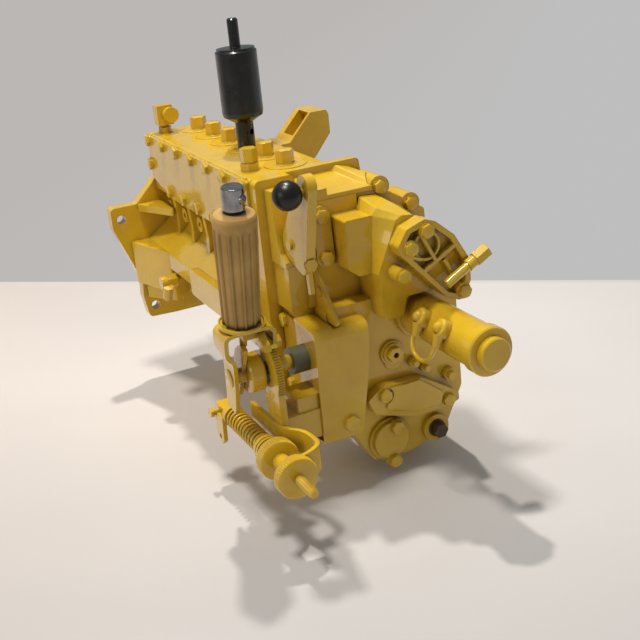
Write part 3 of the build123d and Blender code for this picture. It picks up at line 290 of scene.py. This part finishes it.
# %% Blackened steel, plastic, rubber and the dark plug
def dark_skin(name, colour, worn, rough, coat=0.0, grain=0.05):
    finish, tree, shader, place = start_finish(name)
    scuffs = remap(tree, noise(tree, place, 120.0, 6.0, 0.7), 0.58, 0.74, 0.0, 1.0)
    join(tree, blend_colours(tree, scuffs, colour, worn), shader.inputs["Base Color"])
    haze = remap(tree, noise(tree, place, 45.0, 5.0), 0.3, 0.75, rough, rough + 0.22)
    join(tree, haze, shader.inputs["Roughness"])
    ground = bumps(tree, noise(tree, place, 500.0, 3.0), grain, 0.0004, soft_edges(tree, 0.0008))
    join(tree, ground, shader.inputs["Normal"])
    fill(shader, Coat_Weight=coat, Coat_Roughness=0.06)
    return finish


black_steel = dark_skin("black_steel", (0.006, 0.006, 0.006, 1.0), (0.030, 0.028, 0.026, 1.0),
                        rough=0.20, coat=0.25)
black_knob = dark_skin("black_knob", (0.003, 0.003, 0.003, 1.0), (0.008, 0.008, 0.008, 1.0),
                       rough=0.24, grain=0.02)
grey_seal = dark_skin("grey_seal", (0.105, 0.115, 0.070, 1.0), (0.200, 0.170, 0.060, 1.0),
                      rough=0.40, coat=0.1, grain=0.15)
brown_plug = dark_skin("brown_plug", (0.060, 0.030, 0.012, 1.0), (0.200, 0.110, 0.020, 1.0),
                       rough=0.35, coat=0.2, grain=0.15)
print("dark finishes:", black_steel.name, black_knob.name, grey_seal.name, brown_plug.name)

# %% [markdown]
# ## The tan grip
#
# The grip is moulded in a matt tan plastic that has browned with handling. The flutes carry
# painted shade: the openness of the surface drives the colour from dark brown to tan.


# %% Grip recipe
TAN = (0.570, 0.355, 0.120, 1.0)
TAN_HANDLED = (0.440, 0.260, 0.078, 1.0)
FLUTE_SHADE = (0.060, 0.032, 0.012, 1.0)


def grip_skin():
    finish, tree, shader, place = start_finish("tan_grip")
    handled = remap(tree, noise(tree, place, 26.0, 4.0), 0.35, 0.70, 0.0, 1.0)
    tan = blend_colours(tree, handled, TAN, TAN_HANDLED)
    # painted shade: the closed-in flutes are darkened where ambient occlusion finds them
    openness = remap(tree, hollows(tree, 0.006), 0.45, 0.95, 0.0, 1.0)
    join(tree, blend_colours(tree, openness, FLUTE_SHADE, tan), shader.inputs["Base Color"])
    matt = remap(tree, noise(tree, place, 80.0, 4.0), 0.3, 0.7, 0.42, 0.58)
    join(tree, matt, shader.inputs["Roughness"])
    grain = bumps(tree, noise(tree, place, 420.0, 3.0), 0.10, 0.0003, soft_edges(tree, 0.0012))
    join(tree, grain, shader.inputs["Normal"])
    fill(shader, Specular_IOR_Level=0.2)
    return finish


tan_grip = grip_skin()
print("grip finish:", tan_grip.name)

# %% [markdown]
# ## Which finish goes on which part
#
# The record gives every node a material slot. A table from slot to finish would paint all
# yellow parts alike, so a short list names the parts that were machined before painting.

# %% Paint the CAD nodes
SMOOTH_NODES = {
    "side_cover", "cover_bolts", "outlet_caps", "bleed_elbow", "top_plug", "end_fitting",
    "solenoid_body", "terminal_boots", "jumper_wire", "timing_plug", "hex_fittings",
    "lube_elbow", "inspection_plugs", "linkage_cover", "linkage_side_plate", "pump_barrels",
    "throttle_lever", "pawl", "shutoff_lever", "adjuster_rod", "adjuster_spring",
    "adjuster_wheel", "lock_wheel", "adjuster_strap", "ratchet_sector", "access_strap",
}
FINISH_OF_SLOT = {
    "yellow_paint": cast_enamel, "black_knob": black_knob, "bright_steel": bright_steel,
    "black_steel": black_steel, "grey_seal": grey_seal, "brown_plug": brown_plug,
    "bare_steel": bare_steel,
}


def paint(obj, finish):
    obj.data.materials.clear()
    obj.data.materials.append(finish)


slot_of = {part["node"]: part["material_slot"] for part in frame["record"]["subparts"]}
for name, obj in nodes.items():
    finish = FINISH_OF_SLOT[slot_of[name]]
    if name in SMOOTH_NODES:
        finish = smooth_enamel
    if name == "throttle_grip":
        finish = tan_grip
    paint(obj, finish)
print("painted", len(nodes), "nodes")

# %% [markdown]
# ## Tools for the small pieces
#
# The pieces that follow are drawn in millimetres, as they would be on a workshop drawing,
# and turned into metres in one place. Every finished piece is made smooth, keeps its sharp
# edges by angle, gets its paint, and rides on a body of the mechanism. A piece that shows
# a CAD node in finer form names that node, and the CAD node is hidden.


# %% Piece helpers
SHARP_ANGLE = math.radians(32)


def at(x, y, z):
    return Vector((x, y, z)) * MM


def finish_piece(name, mesh, body, finish, node=None):
    """Turn a finished bmesh into an object, painted and riding on its body."""
    bmesh.ops.recalc_face_normals(mesh, faces=mesh.faces)
    for face in mesh.faces:
        face.smooth = True
    data = bpy.data.meshes.new(name)
    mesh.to_mesh(data)
    mesh.free()
    data.set_sharp_from_angle(angle=SHARP_ANGLE)
    piece = put_in_scene(name, data)
    paint(piece, finish)
    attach(piece, body)
    if node is not None:
        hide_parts(node)
    print(name, "faces:", len(data.polygons))
    return piece


# %% [markdown]
# Four shapes make nearly everything. `bridge` skins a stack of rings. `lathe` turns a
# profile round an axis and sinks every second point of the rings marked as knurled.
# `ribbon` bends a strip along a line, whose corners `corner_cut` has rounded by cutting
# them again and again, as a brake-bent strip looks. `slab` is a flat plate of any outline.


# %% Shape helpers
def bridge(mesh, rings):
    """Skin a stack of equal rings and close its two ends."""
    for low, high in zip(rings, rings[1:]):
        for step in range(len(low)):
            after = (step + 1) % len(low)
            mesh.faces.new((low[step], low[after], high[after], high[step]))
    mesh.faces.new(rings[0][::-1])
    mesh.faces.new(rings[-1])


def lathe(mesh, profile, centre, axis, steps=40, knurl=0.0):
    """Profile entries are (radius, reach) or (radius, reach, "knurled")."""
    along = Vector(axis).normalized()
    side = along.orthogonal().normalized()
    up = along.cross(side)
    rings = []
    for radius, reach, *marks in profile:
        ring = []
        for step in range(steps):
            angle = 2 * math.pi * step / steps
            depth = knurl * (step % 2) if marks else 0.0
            spoke = side * math.cos(angle) + up * math.sin(angle)
            ring.append(mesh.verts.new(centre + (along * reach + spoke * (radius - depth)) * MM))
        rings.append(ring)
    bridge(mesh, rings)


def corner_cut(points, rounds):
    """Round a line by cutting a quarter off both ends of every stretch."""
    points = [tuple(point) for point in points]
    for _ in range(rounds):
        cut = [points[0]]
        for here, there in zip(points, points[1:]):
            cut.append(tuple(0.75 * a + 0.25 * b for a, b in zip(here, there)))
            cut.append(tuple(0.25 * a + 0.75 * b for a, b in zip(here, there)))
        points = cut + [points[-1]]
    return points


def ribbon(mesh, line, thick, place):
    """Strip along (u, v, low, high) stations; place turns (u, v, w) into a point."""
    rings = []
    for number, (u, v, low, high) in enumerate(line):
        before = line[max(number - 1, 0)]
        after = line[min(number + 1, len(line) - 1)]
        along = Vector((after[0] - before[0], after[1] - before[1])).normalized()
        side = Vector((-along.y, along.x)) * thick / 2
        corners = ((1, low), (1, high), (-1, high), (-1, low))
        ring = [mesh.verts.new(place(u + side.x * way, v + side.y * way, w)) for way, w in corners]
        rings.append(ring)
    bridge(mesh, rings)


def slab(mesh, outline, low, high, place):
    """A flat plate with the given (u, v) outline, between two levels of w."""
    rings = []
    for w in (low, high):
        rings.append([mesh.verts.new(place(u, v, w)) for u, v in outline])
    bridge(mesh, rings)


# %% [markdown]
# ## Hexagon heads with turned chamfers
#
# A real hexagon head is cut from bar and then faced in a lathe, so its corners are lower
# than its flats and its top ends in a circle. The CAD bolts are plain prisms. Their places
# and sizes are read from the CAD node itself: each loose solid is measured, and the two
# sides that are nearly equal are across the head. Each head gets a turn of its own, because
# nobody tightens thirty bolts to the same angle.


# %% Measure the loose solids of a node
def loose_boxes(obj):
    mesh = bmesh.new()
    mesh.from_mesh(obj.data)
    bmesh.ops.remove_doubles(mesh, verts=mesh.verts, dist=1e-6)
    waiting = set(mesh.verts)
    boxes = []
    while waiting:
        stack = [waiting.pop()]
        island = list(stack)
        while stack:
            for edge in stack.pop().link_edges:
                for vert in edge.verts:
                    if vert in waiting:
                        waiting.remove(vert)
                        stack.append(vert)
                        island.append(vert)
        lows = [min(vert.co[axis] for vert in island) / MM for axis in range(3)]
        highs = [max(vert.co[axis] for vert in island) / MM for axis in range(3)]
        boxes.append((lows, highs))
    mesh.free()
    return sorted(boxes)


# %% Cut one head
HEAD_STEPS = 24
FACE_SHARE = 0.93         # radius of the turned face, as a share of the half width
COLLAR_SHARES = (1.22, 1.18)
CHAMFER = math.radians(30)


def hex_head(mesh, seat, axis, across, height, turn, collar):
    along = Vector(axis)
    side = along.orthogonal().normalized()
    up = along.cross(side)
    flat = across / 2
    rings = [[], [], [], [], []]
    for step in range(HEAD_STEPS):
        angle = 2 * math.pi * step / HEAD_STEPS
        corner = flat / math.cos((angle + math.pi / 6) % (math.pi / 3) - math.pi / 6)
        shoulder = height - (corner - flat * FACE_SHARE) * math.tan(CHAMFER)
        spoke = side * math.cos(angle + turn) + up * math.sin(angle + turn)
        stations = ((flat * COLLAR_SHARES[0], 0.0), (flat * COLLAR_SHARES[1], collar),
                    (corner, collar), (corner, shoulder), (flat * FACE_SHARE, height))
        for ring, (radius, reach) in zip(rings, stations):
            ring.append(mesh.verts.new(seat + (along * reach + spoke * radius) * MM))
    bridge(mesh, rings)


# %% Fit the bolts and the caps
BOLT_HEAD = 5.6
BOLT_COLLAR = 1.3
CAP_ACROSS = 19.0
CAP_COLLAR = 1.6
CORNER_TO_FLAT = math.cos(math.pi / 6)
turns = random.Random(11)


def fit_bolts():
    mesh = bmesh.new()
    for lows, highs in loose_boxes(nodes["cover_bolts"]):
        sides = [high - low for low, high in zip(lows, highs)]
        pairs = []
        for a, b in ((0, 1), (1, 2), (2, 0)):
            pairs.append((abs(sides[a] - sides[b]) / sides[a], 3 - a - b))
        axis = min(pairs)[1]
        across = max(sides[other] for other in range(3) if other != axis) * CORNER_TO_FLAT
        seat = [(low + high) / 2 for low, high in zip(lows, highs)]
        seat[axis] = lows[axis] + BOLT_HEAD
        way = [0.0, 0.0, 0.0]
        way[axis] = -1.0
        turn = turns.uniform(0, math.pi / 3)
        hex_head(mesh, at(*seat), way, across, BOLT_HEAD, turn, BOLT_COLLAR)
    return finish_piece("hex_bolts", mesh, "pump_body", smooth_enamel, "cover_bolts")


def fit_caps():
    mesh = bmesh.new()
    for lows, highs in loose_boxes(nodes["outlet_caps"]):
        seat = ((lows[0] + highs[0]) / 2, (lows[1] + highs[1]) / 2, lows[2])
        turn = turns.uniform(0, math.pi / 3)
        hex_head(mesh, at(*seat), (0, 0, 1), CAP_ACROSS, highs[2] - lows[2], turn, CAP_COLLAR)
    return finish_piece("delivery_caps", mesh, "pump_body", smooth_enamel, "outlet_caps")


fit_bolts()
fit_caps()

# %% [markdown]
# ## Rings round the bonnets
#
# Each pumping element is closed by a round bonnet, let into the top of the housing. Paint
# bridges the joint and leaves a thin raised ring, and a second one stands where the outlet
# is seated. Two lathe profiles make them, and the CAD bonnets say where they go.

# %% Bonnet rings
BONNET_TOP = 184.6
RING_PROFILE = [(23.2, -0.4), (23.4, 0.25), (24.0, 0.7), (24.9, 0.75), (25.5, 0.3), (25.8, -0.5)]
SEAT_PROFILE = [(10.5, -0.4), (10.7, 1.1), (12.6, 1.2), (13.4, 0.4), (13.6, -0.4)]


def make_bonnet_rings():
    mesh = bmesh.new()
    for lows, highs in loose_boxes(nodes["pump_barrels"]):
        centre = at((lows[0] + highs[0]) / 2, (lows[1] + highs[1]) / 2, BONNET_TOP)
        for profile in (RING_PROFILE, SEAT_PROFILE):
            lathe(mesh, profile, centre, (0, 0, 1), 56)
    return finish_piece("bonnet_rings", mesh, "pump_body", smooth_enamel)


make_bonnet_rings()

# %% [markdown]
# ## The cam box's machined pad
#
# Half way along the cam box its rail thickens into a long flat pad that was machined, with
# its corners cut. An outline and two levels are all that a slab needs.

# %% Cam box pad
PAD = [(-205, 5), (-203, 8), (-203, 37), (-206, 40), (-342, 40), (-345, 37), (-345, 8), (-342, 5)]
PAD_LEVELS = (-91.0, -80.0)


def facing_left(u, v, w):
    return at(w, u, v)


def make_pad():
    mesh = bmesh.new()
    slab(mesh, PAD, *PAD_LEVELS, facing_left)
    return finish_piece("cam_box_pad", mesh, "pump_body", cast_enamel)


make_pad()

# %% [markdown]
# ## The hand lever's yoke
#
# A wide strip is bent round three corners: over the top, down the left with a jog inwards,
# and a short way down the right. It holds the grip's cup on top and the fat hub between its
# legs. It is drawn in the lever's own frame, upright, with the shaft at the origin, and
# leaned back with one matrix. A leaf-shaped blade stands between the leg and the hub.

# %% Lever frame and sizes
LEVER_AT = (-120.0, -445.0, -12.0)
LEVER_LEAN = math.radians(8.5)
X_AXIS, Z_AXIS = (1, 0, 0), (0, 0, 1)
lean = Matrix.Translation(at(*LEVER_AT)) @ Matrix.Rotation(LEVER_LEAN, 4, "X")


def on_lever(x, y, z):
    return lean @ at(x, y, z)


def lever_strip(u, v, w):
    return on_lever(u, w, v)


def lever_plate(u, v, w):
    return on_lever(w, u, v)


def lathe_on_lever(mesh, profile, axis, steps):
    """Turn a profile in the lever's frame, round its shaft (x) or its grip (z)."""
    direction = lean.to_3x3() @ Vector(axis)
    lathe(mesh, profile, lean.translation, direction, steps)


print("lever leans", round(math.degrees(LEVER_LEAN), 1), "degrees about its shaft")

# %% Yoke, blade, hub, shaft, cup, rod and pivot
YOKE_THICK = 4.6
YOKE_LINE = [
    (31.5, 24, -9, 11), (31.8, 40, -14, 15), (31.5, 60.5, -16, 17), (0, 60.5, -17, 17),
    (-25.5, 60.5, -16, 17), (-25.8, 44, -16, 16), (-25.0, 34, -16, 16), (-17.2, 27, -16, 15),
    (-16.8, 10, -16, 14), (-16.6, -20, -15, 13), (-16.8, -40, -12, 12),
]
BLADE = [(-16, 39), (-12.5, 27), (-3, 2), (6, -30), (14, -32), (18, -8), (14, 26), (-4, 42)]
BLADE_LEVELS = (-6.5, -1.5)
HUB = [(8.0, -1.0), (21.0, -1.0), (22.5, 0.5), (22.5, 15.5), (20.5, 17.6), (8.0, 17.8)]
SHAFT = [(9.6, -20.6), (10.6, -20.0), (10.6, -14), (8.5, -13), (8.5, 120)]
CUP = [(19.5, 63.0), (24.6, 63.0), (26.0, 64.2), (26.0, 67.2), (24.8, 68.2), (24.0, 67.6),
       (23.6, 66.2), (19.5, 66.0)]
ROD = [(3.4, 36), (4.2, 37), (4.2, 59)]
PIVOT = [(5.0, 33.5), (5.0, 36.0), (8.2, 36.2), (8.2, 43.0), (6.8, 44.0)]
PIVOT_AT = (0, 2, 30)


def make_yoke():
    mesh = bmesh.new()
    ribbon(mesh, corner_cut(YOKE_LINE, 3), YOKE_THICK, lever_strip)
    slab(mesh, corner_cut(BLADE + BLADE[:1], 1), *BLADE_LEVELS, lever_plate)
    lathe_on_lever(mesh, HUB, X_AXIS, 56)
    lathe_on_lever(mesh, SHAFT, X_AXIS, 40)
    lathe_on_lever(mesh, CUP, Z_AXIS, 56)
    lathe_on_lever(mesh, ROD, Z_AXIS, 20)
    lathe(mesh, PIVOT, on_lever(*PIVOT_AT), lean.to_3x3() @ Vector(X_AXIS), 6)
    return finish_piece("lever_yoke", mesh, "throttle", smooth_enamel, "throttle_lever")


make_yoke()

# %% [markdown]
# ## The fluted grip
#
# The grip tapers a little towards its foot. Wide flutes run down from an arch below the
# rounded shoulder. The surface is a grid round the lever's axis whose radius sinks inside
# each flute, so the arches and the sharp ridges come from one formula.

# %% Grip
GRIP_LOW, GRIP_HIGH = 66.2, 195.0
GRIP_FLUTES = 11
GRIP_STEPS = GRIP_FLUTES * 14
GRIP_ROWS = 60
FLUTE_DEPTH = 2.3
FLUTE_END = 181.0         # where a flute ends, at its middle
FLUTE_ARCH = 6.0          # how much lower it ends at its sides
FLUTE_WALL = (0.93, 0.72)  # the wall's place between ridge (1) and middle (0)
FLUTE_RUNOUT = 2.5
GRIP_FOOT_R, GRIP_TOP_R = 21.0, 23.5
SHOULDER = 7.0


def grip_radius(height):
    share = (height - GRIP_LOW) / (GRIP_HIGH - GRIP_LOW)
    radius = GRIP_FOOT_R + (GRIP_TOP_R - GRIP_FOOT_R) * min(1.0, share * 1.3)
    above = height - (GRIP_HIGH - SHOULDER)
    if above > 0:
        radius -= SHOULDER - math.sqrt(max(SHOULDER ** 2 - above ** 2, 0.0))
    return radius


def smooth_step(low, high, value):
    share = min(1.0, max(0.0, (value - low) / (high - low)))
    return share * share * (3 - 2 * share)


def make_grip():
    mesh = bmesh.new()
    rings = []
    for row in range(GRIP_ROWS + 1):
        height = GRIP_LOW + (GRIP_HIGH - GRIP_LOW) * row / GRIP_ROWS
        ring = []
        for step in range(GRIP_STEPS):
            turn = step / GRIP_STEPS
            offset = abs((turn * GRIP_FLUTES) % 1.0 - 0.5) * 2
            end = FLUTE_END - FLUTE_ARCH * offset ** 2
            across = smooth_step(*FLUTE_WALL, offset)
            along = smooth_step(end + FLUTE_RUNOUT, end - FLUTE_RUNOUT, height)
            radius = grip_radius(height) - FLUTE_DEPTH * across * along
            angle = 2 * math.pi * turn
            spot = on_lever(radius * math.cos(angle), radius * math.sin(angle), height)
            ring.append(mesh.verts.new(spot))
        rings.append(ring)
    bridge(mesh, rings)
    return finish_piece("fluted_grip", mesh, "throttle", tan_grip, "throttle_grip")


make_grip()

# %% [markdown]
# ## The sector's plate
#
# The toothed quadrant is a full plate that goes down to the shaft. The CAD has the toothed
# rim, so only the plain plate between rim and shaft is added. It is a part of a ring, made
# as a row of thin quadrilaterals whose shared points are then merged.

# %% Sector plate
PLATE_LEVELS = (-99.6, -92.6)
PLATE_RADII = (11.0, 30.5)
PLATE_ANGLES = (86, 262)
PLATE_STEPS = 30


def beside_lever(u, v, w):
    return at(w, LEVER_AT[1] + u, LEVER_AT[2] + v)


def make_sector_plate():
    mesh = bmesh.new()
    first, last = PLATE_ANGLES
    arcs = []
    for radius in PLATE_RADII:
        arc = []
        for step in range(PLATE_STEPS + 1):
            angle = math.radians(first + step / PLATE_STEPS * (last - first))
            arc.append((radius * math.cos(angle), radius * math.sin(angle)))
        arcs.append(arc)
    inner, outer = arcs
    for step in range(PLATE_STEPS):
        quad = (inner[step], outer[step], outer[step + 1], inner[step + 1])
        slab(mesh, quad, *PLATE_LEVELS, beside_lever)
    bmesh.ops.remove_doubles(mesh, verts=mesh.verts, dist=1e-6)
    return finish_piece("sector_plate", mesh, "pump_body", smooth_enamel)


make_sector_plate()

# %% [markdown]
# ## The cheek beside the shut-off lever
#
# The governor's left wall runs on flat behind the shut-off lever. Its free edge goes round
# the lever's hub with a small gap, so the lever can swing past it.

# %% Governor cheek
CHEEK = [(-392, 174), (-408, 174), (-412, 145), (-414.5, 119), (-419, 104), (-431.5, 97),
         (-431.5, 90), (-392, 90)]
CHEEK_LEVELS = (-51.5, -33.0)


def make_cheek():
    mesh = bmesh.new()
    slab(mesh, CHEEK, *CHEEK_LEVELS, facing_left)
    return finish_piece("governor_cheek", mesh, "pump_body", cast_enamel)


make_cheek()

# %% [markdown]
# ## The adjuster's strap and knurled wheels
#
# A strip on edge comes from the bracket, bends outwards in an S and hooks back between the
# two wheels, where the rod passes through it. The wheels have straight knurls, made by
# sinking every second point of the rim. The profile of the first wheel also holds its
# stepped nose, on which the spring sits.

# %% Strap and wheels
ROD_AT = (-120.0, 0.0, -88.0)
STRAP_THICK = 5.0
STRAP_LINE = [
    (-101, -402, -92, -68), (-101, -440, -92, -67), (-101, -474, -92, -66), (-98, -494, -92, -66),
    (-87, -508, -92, -65), (-83.5, -528, -93, -65), (-84.5, -545, -95, -66),
    (-94, -549, -98, -68), (-108, -548.6, -101, -72), (-132, -548.6, -102, -74),
]
KNURL_POINTS = 104
KNURL_DEPTH = 1.0
ADJUSTER_PROFILE = [
    (5.2, -545.6), (10, -545.6), (10, -520), (21.0, -519.6), (22.6, -518.6),
    (23.5, -517.4, "knurled"), (23.5, -505.8, "knurled"), (22.6, -504.6), (21.0, -503.9),
    (17, -503.6), (17, -496.6), (16.2, -496), (12, -495.8), (12, -492.2), (16, -491.8),
    (16, -488.2), (12, -487.8), (12, -485.2), (15, -484.8), (15, -479.4), (14, -479), (5.2, -479),
]
LOCK_PROFILE = [
    (5.2, -565.8), (8.0, -566.0), (20.8, -566.0), (22.6, -565.0), (23.5, -563.8, "knurled"),
    (23.5, -553.4, "knurled"), (22.6, -552.2), (21.0, -551.4), (5.2, -551.3),
]


def make_strap():
    mesh = bmesh.new()
    ribbon(mesh, corner_cut(STRAP_LINE, 3), STRAP_THICK, at)
    return finish_piece("adjuster_band", mesh, "pump_body", smooth_enamel, "adjuster_strap")


def make_wheel(name, profile, body):
    mesh = bmesh.new()
    lathe(mesh, profile, at(*ROD_AT), (0, 1, 0), KNURL_POINTS, KNURL_DEPTH)
    return finish_piece(name, mesh, body, fine_enamel, body)


make_strap()
make_wheel("knurled_adjuster", ADJUSTER_PROFILE, "adjuster_wheel")
make_wheel("knurled_lock", LOCK_PROFILE, "lock_wheel")

# %% [markdown]
# ## The rod's thread
#
# A thread is a surface whose radius follows the angle and the distance together, which is
# what a helix is. A grid round the rod with that radius makes it, and a taper at each end
# lets the thread run out, as a die leaves it.

# %% Rod thread
THREAD_FROM, THREAD_TO = -602.0, -567.0
THREAD_PITCH = 2.0
THREAD_ROWS_A_TURN = 5
THREAD_ROOT, THREAD_CREST = 4.95, 5.65
THREAD_STEPS = 24


def make_thread():
    mesh = bmesh.new()
    rows = int((THREAD_TO - THREAD_FROM) / THREAD_PITCH * THREAD_ROWS_A_TURN)
    rings = []
    for row in range(rows + 1):
        reach = THREAD_FROM + row * THREAD_PITCH / THREAD_ROWS_A_TURN
        taper = min(1.0, row / 8, (rows - row) / 6)
        ring = []
        for step in range(THREAD_STEPS):
            turn = step / THREAD_STEPS
            phase = (reach / THREAD_PITCH + turn) % 1.0
            crest = (1 - abs(2 * phase - 1)) * taper
            radius = THREAD_ROOT + (THREAD_CREST - THREAD_ROOT) * crest
            angle = 2 * math.pi * turn
            ring.append(mesh.verts.new(at(ROD_AT[0] + radius * math.cos(angle), reach,
                                          ROD_AT[2] + radius * math.sin(angle))))
        rings.append(ring)
    bridge(mesh, rings)
    return finish_piece("rod_thread", mesh, "adjuster_rod", fine_enamel)


make_thread()

# %% [markdown]
# ## The jumper wire
#
# A short painted wire joins the solenoid's two terminals. It leaves one boot downwards,
# swings forward and comes up into the other. The same points as in the CAD guide a NURBS
# curve, which passes smoothly inside the corners, as a stiff short wire does.

# %% Jumper wire
JUMPER_ROUTE = [
    (64, -514.5, 22), (58.5, -513, 12.5), (54, -513.5, 2), (51.5, -519.5, -7), (51.5, -530, -12),
    (52, -541.5, -11.5), (52.5, -551.5, -5), (55, -557, 5), (59.5, -558, 15.5), (65, -557, 25),
]
JUMPER_RADIUS = 2.6


def make_jumper():
    curve = bpy.data.curves.new("jumper_lead", "CURVE")
    curve.dimensions = "3D"
    curve.bevel_depth = JUMPER_RADIUS * MM
    curve.bevel_resolution = 4
    curve.resolution_u = 12
    line = curve.splines.new("NURBS")
    line.points.add(len(JUMPER_ROUTE) - 1)
    for point, place in zip(line.points, JUMPER_ROUTE):
        point.co = (*at(*place), 1.0)
    line.order_u = 3
    line.use_endpoint_u = True
    wire = put_in_scene("jumper_lead", curve)
    wire.data.materials.append(smooth_enamel)
    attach(wire, "pump_body")
    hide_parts("jumper_wire")
    return wire


jumper = make_jumper()
print(jumper.name, "guide points:", len(JUMPER_ROUTE))

# %% [markdown]
# ## The floor
#
# The pump stands on a pale sheet that runs far back. One flat sheet is the simplest stage,
# and it is the same from every side. A studio has a paler table in front of a greyer
# ground, with a thin strip where they meet. That is painted on the sheet by position. Painted
# shade and warm light make the left darker and warmer than the cool right, and a little less
# light is painted towards the front. The ground behind the table shines by itself, for the
# camera and for reflections only, so that it keeps an even grey.

# %% Floor
FLOOR_Z = -0.180
FLOOR_HALF = 14.0
TABLE_EDGE = Vector((0.273, 0.192, FLOOR_Z))     # a point where the table ends
TABLE_EDGE_TURN = math.radians(-40.7)            # the way that edge runs, from +X
STRIP_WIDTH = 0.010
FLOOR_SQUARES = 8


def lay_floor():
    mesh = bmesh.new()
    bmesh.ops.create_grid(mesh, x_segments=FLOOR_SQUARES, y_segments=FLOOR_SQUARES, size=FLOOR_HALF)
    bmesh.ops.translate(mesh, verts=mesh.verts, vec=(0.0, 0.0, FLOOR_Z))
    data = bpy.data.meshes.new("floor")
    mesh.to_mesh(data)
    mesh.free()
    floor = put_in_scene("floor", data)
    return floor


# %% Floor tones
# painted shade and warm light: the left tones are darker and warmer than the right ones
TABLE_LEFT, TABLE_RIGHT = (0.700, 0.625, 0.580, 1.0), (0.740, 0.715, 0.710, 1.0)
GROUND_LEFT, GROUND_RIGHT = (0.50, 0.475, 0.46, 1.0), (0.52, 0.515, 0.515, 1.0)
STRIP_TONE = (0.68, 0.66, 0.63, 1.0)


def table_coordinates(tree, place):
    """Sockets that run along the table's edge and away from it."""
    turned = tree.nodes.new("ShaderNodeMapping")
    turned.vector_type = "TEXTURE"
    fill(turned, Location=TABLE_EDGE, Rotation=(0.0, 0.0, TABLE_EDGE_TURN))
    join(tree, place, turned.inputs["Vector"])
    parts = tree.nodes.new("ShaderNodeSeparateXYZ")
    join(tree, turned.outputs["Vector"], parts.inputs["Vector"])
    return parts.outputs["X"], parts.outputs["Y"]


def shine_unlit(tree, shader, colour, where):
    """Give a plain glow of its own colour to camera, glossy and transmission rays."""
    glow = add_node(tree, "ShaderNodeEmission", Strength=1.0)
    join(tree, colour, glow.inputs["Color"])
    rays = tree.nodes.new("ShaderNodeLightPath")
    seen = math_node(tree, "MAXIMUM", rays.outputs["Is Camera Ray"], rays.outputs["Is Glossy Ray"])
    seen = math_node(tree, "MAXIMUM", seen, rays.outputs["Is Transmission Ray"])
    choice = tree.nodes.new("ShaderNodeMixShader")
    join(tree, math_node(tree, "MULTIPLY", seen, where), choice.inputs["Fac"])
    join(tree, shader.outputs["BSDF"], choice.inputs[1])
    join(tree, glow.outputs["Emission"], choice.inputs[2])
    join(tree, choice.outputs["Shader"], tree.nodes["Material Output"].inputs["Surface"])


# %% Floor finish
def floor_finish():
    finish, tree, shader, place = start_finish("pale_floor")
    along, away = table_coordinates(tree, place)
    # painted shade and warm light, running from left to right along the table's edge
    across = remap(tree, along, -0.95, 0.25, 0.0, 1.0)
    table = blend_colours(tree, across, TABLE_LEFT, TABLE_RIGHT)
    ground = blend_colours(tree, across, GROUND_LEFT, GROUND_RIGHT)
    behind = remap(tree, away, 0.0, 0.002, 0.0, 1.0)
    tone = blend_colours(tree, behind, table, ground)
    nearby = remap(tree, away, STRIP_WIDTH, STRIP_WIDTH + 0.003, 1.0, 0.0)
    strip = math_node(tree, "MULTIPLY", behind, nearby)
    tone = blend_colours(tree, strip, tone, STRIP_TONE)
    shine_unlit(tree, shader, ground, math_node(tree, "SUBTRACT", behind, strip))
    soft = remap(tree, noise(tree, place, 2.5, 2.0), 0.3, 0.7, 0.94, 1.0)
    near = remap(tree, away, -0.95, -0.45, 0.80, 1.0)
    shade = tree.nodes.new("ShaderNodeVectorMath")
    shade.operation = "SCALE"
    join(tree, tone, shade.inputs[0])
    join(tree, math_node(tree, "MULTIPLY", soft, near), shade.inputs["Scale"])
    join(tree, shade.outputs["Vector"], shader.inputs["Base Color"])
    fill(shader, Roughness=0.55, Specular_IOR_Level=0.3)
    return finish


floor = lay_floor()
paint(floor, floor_finish())
print("floor height:", FLOOR_Z)

# %% [markdown]
# ## The light
#
# A small lamp high behind the pump draws the crisp shadow that falls towards the camera. A
# wider one above the left side fills that shadow and brightens the tops. A wide weak panel
# far to the left opens up the side. Gloss needs something to reflect, so a pinkish card
# stands low beside the pump, where the flat side covers mirror it. A dim even world lights
# the rest. The lamps themselves are hidden from the camera.

# %% Lamps
LAMPS = (
    # name, centre, aim, width, height, watts, colour
    ("overhead", (0.30, 0.38, 2.25), (0.0, -0.35, -0.05), 0.09, 0.09, 33.0, (1.0, 0.94, 0.86)),
    ("overhead_left", (-0.42, -0.50, 2.20), (0.0, -0.40, -0.05), 0.30, 0.30, 30.0,
     (1.0, 0.95, 0.88)),
    ("left_card", (-0.50, 0.62, 0.10), (-0.06, -0.25, 0.08), 1.3, 0.75, 0.75, (1.0, 0.82, 0.72)),
    ("left_fill", (-2.2, -0.8, 0.9), (0.0, -0.30, 0.05), 1.2, 1.0, 8.0, (1.0, 0.94, 0.86)),
)


def panel(name, centre, aim, width, height, watts, colour):
    data = bpy.data.lights.new(name, "AREA")
    data.shape = "RECTANGLE"
    data.size = width
    data.size_y = height
    data.energy = watts
    data.color = colour
    lamp = put_in_scene(name, data)
    lamp.location = centre
    lamp.rotation_euler = (Vector(aim) - Vector(centre)).to_track_quat("-Z", "Y").to_euler()
    lamp.visible_camera = False
    return lamp


for lamp in LAMPS:
    panel(*lamp)
print("lamps:", len(LAMPS))

# %% World
WORLD_COLOUR = (0.92, 0.98, 1.0, 1.0)
WORLD_STRENGTH = 0.28


def light_world():
    world = bpy.data.worlds.new("studio")
    world.use_nodes = True
    bpy.context.scene.world = world
    fill(world.node_tree.nodes["Background"], Color=WORLD_COLOUR, Strength=WORLD_STRENGTH)


light_world()
bpy.context.scene.view_settings.view_transform = "Standard"
print("world strength:", WORLD_STRENGTH)
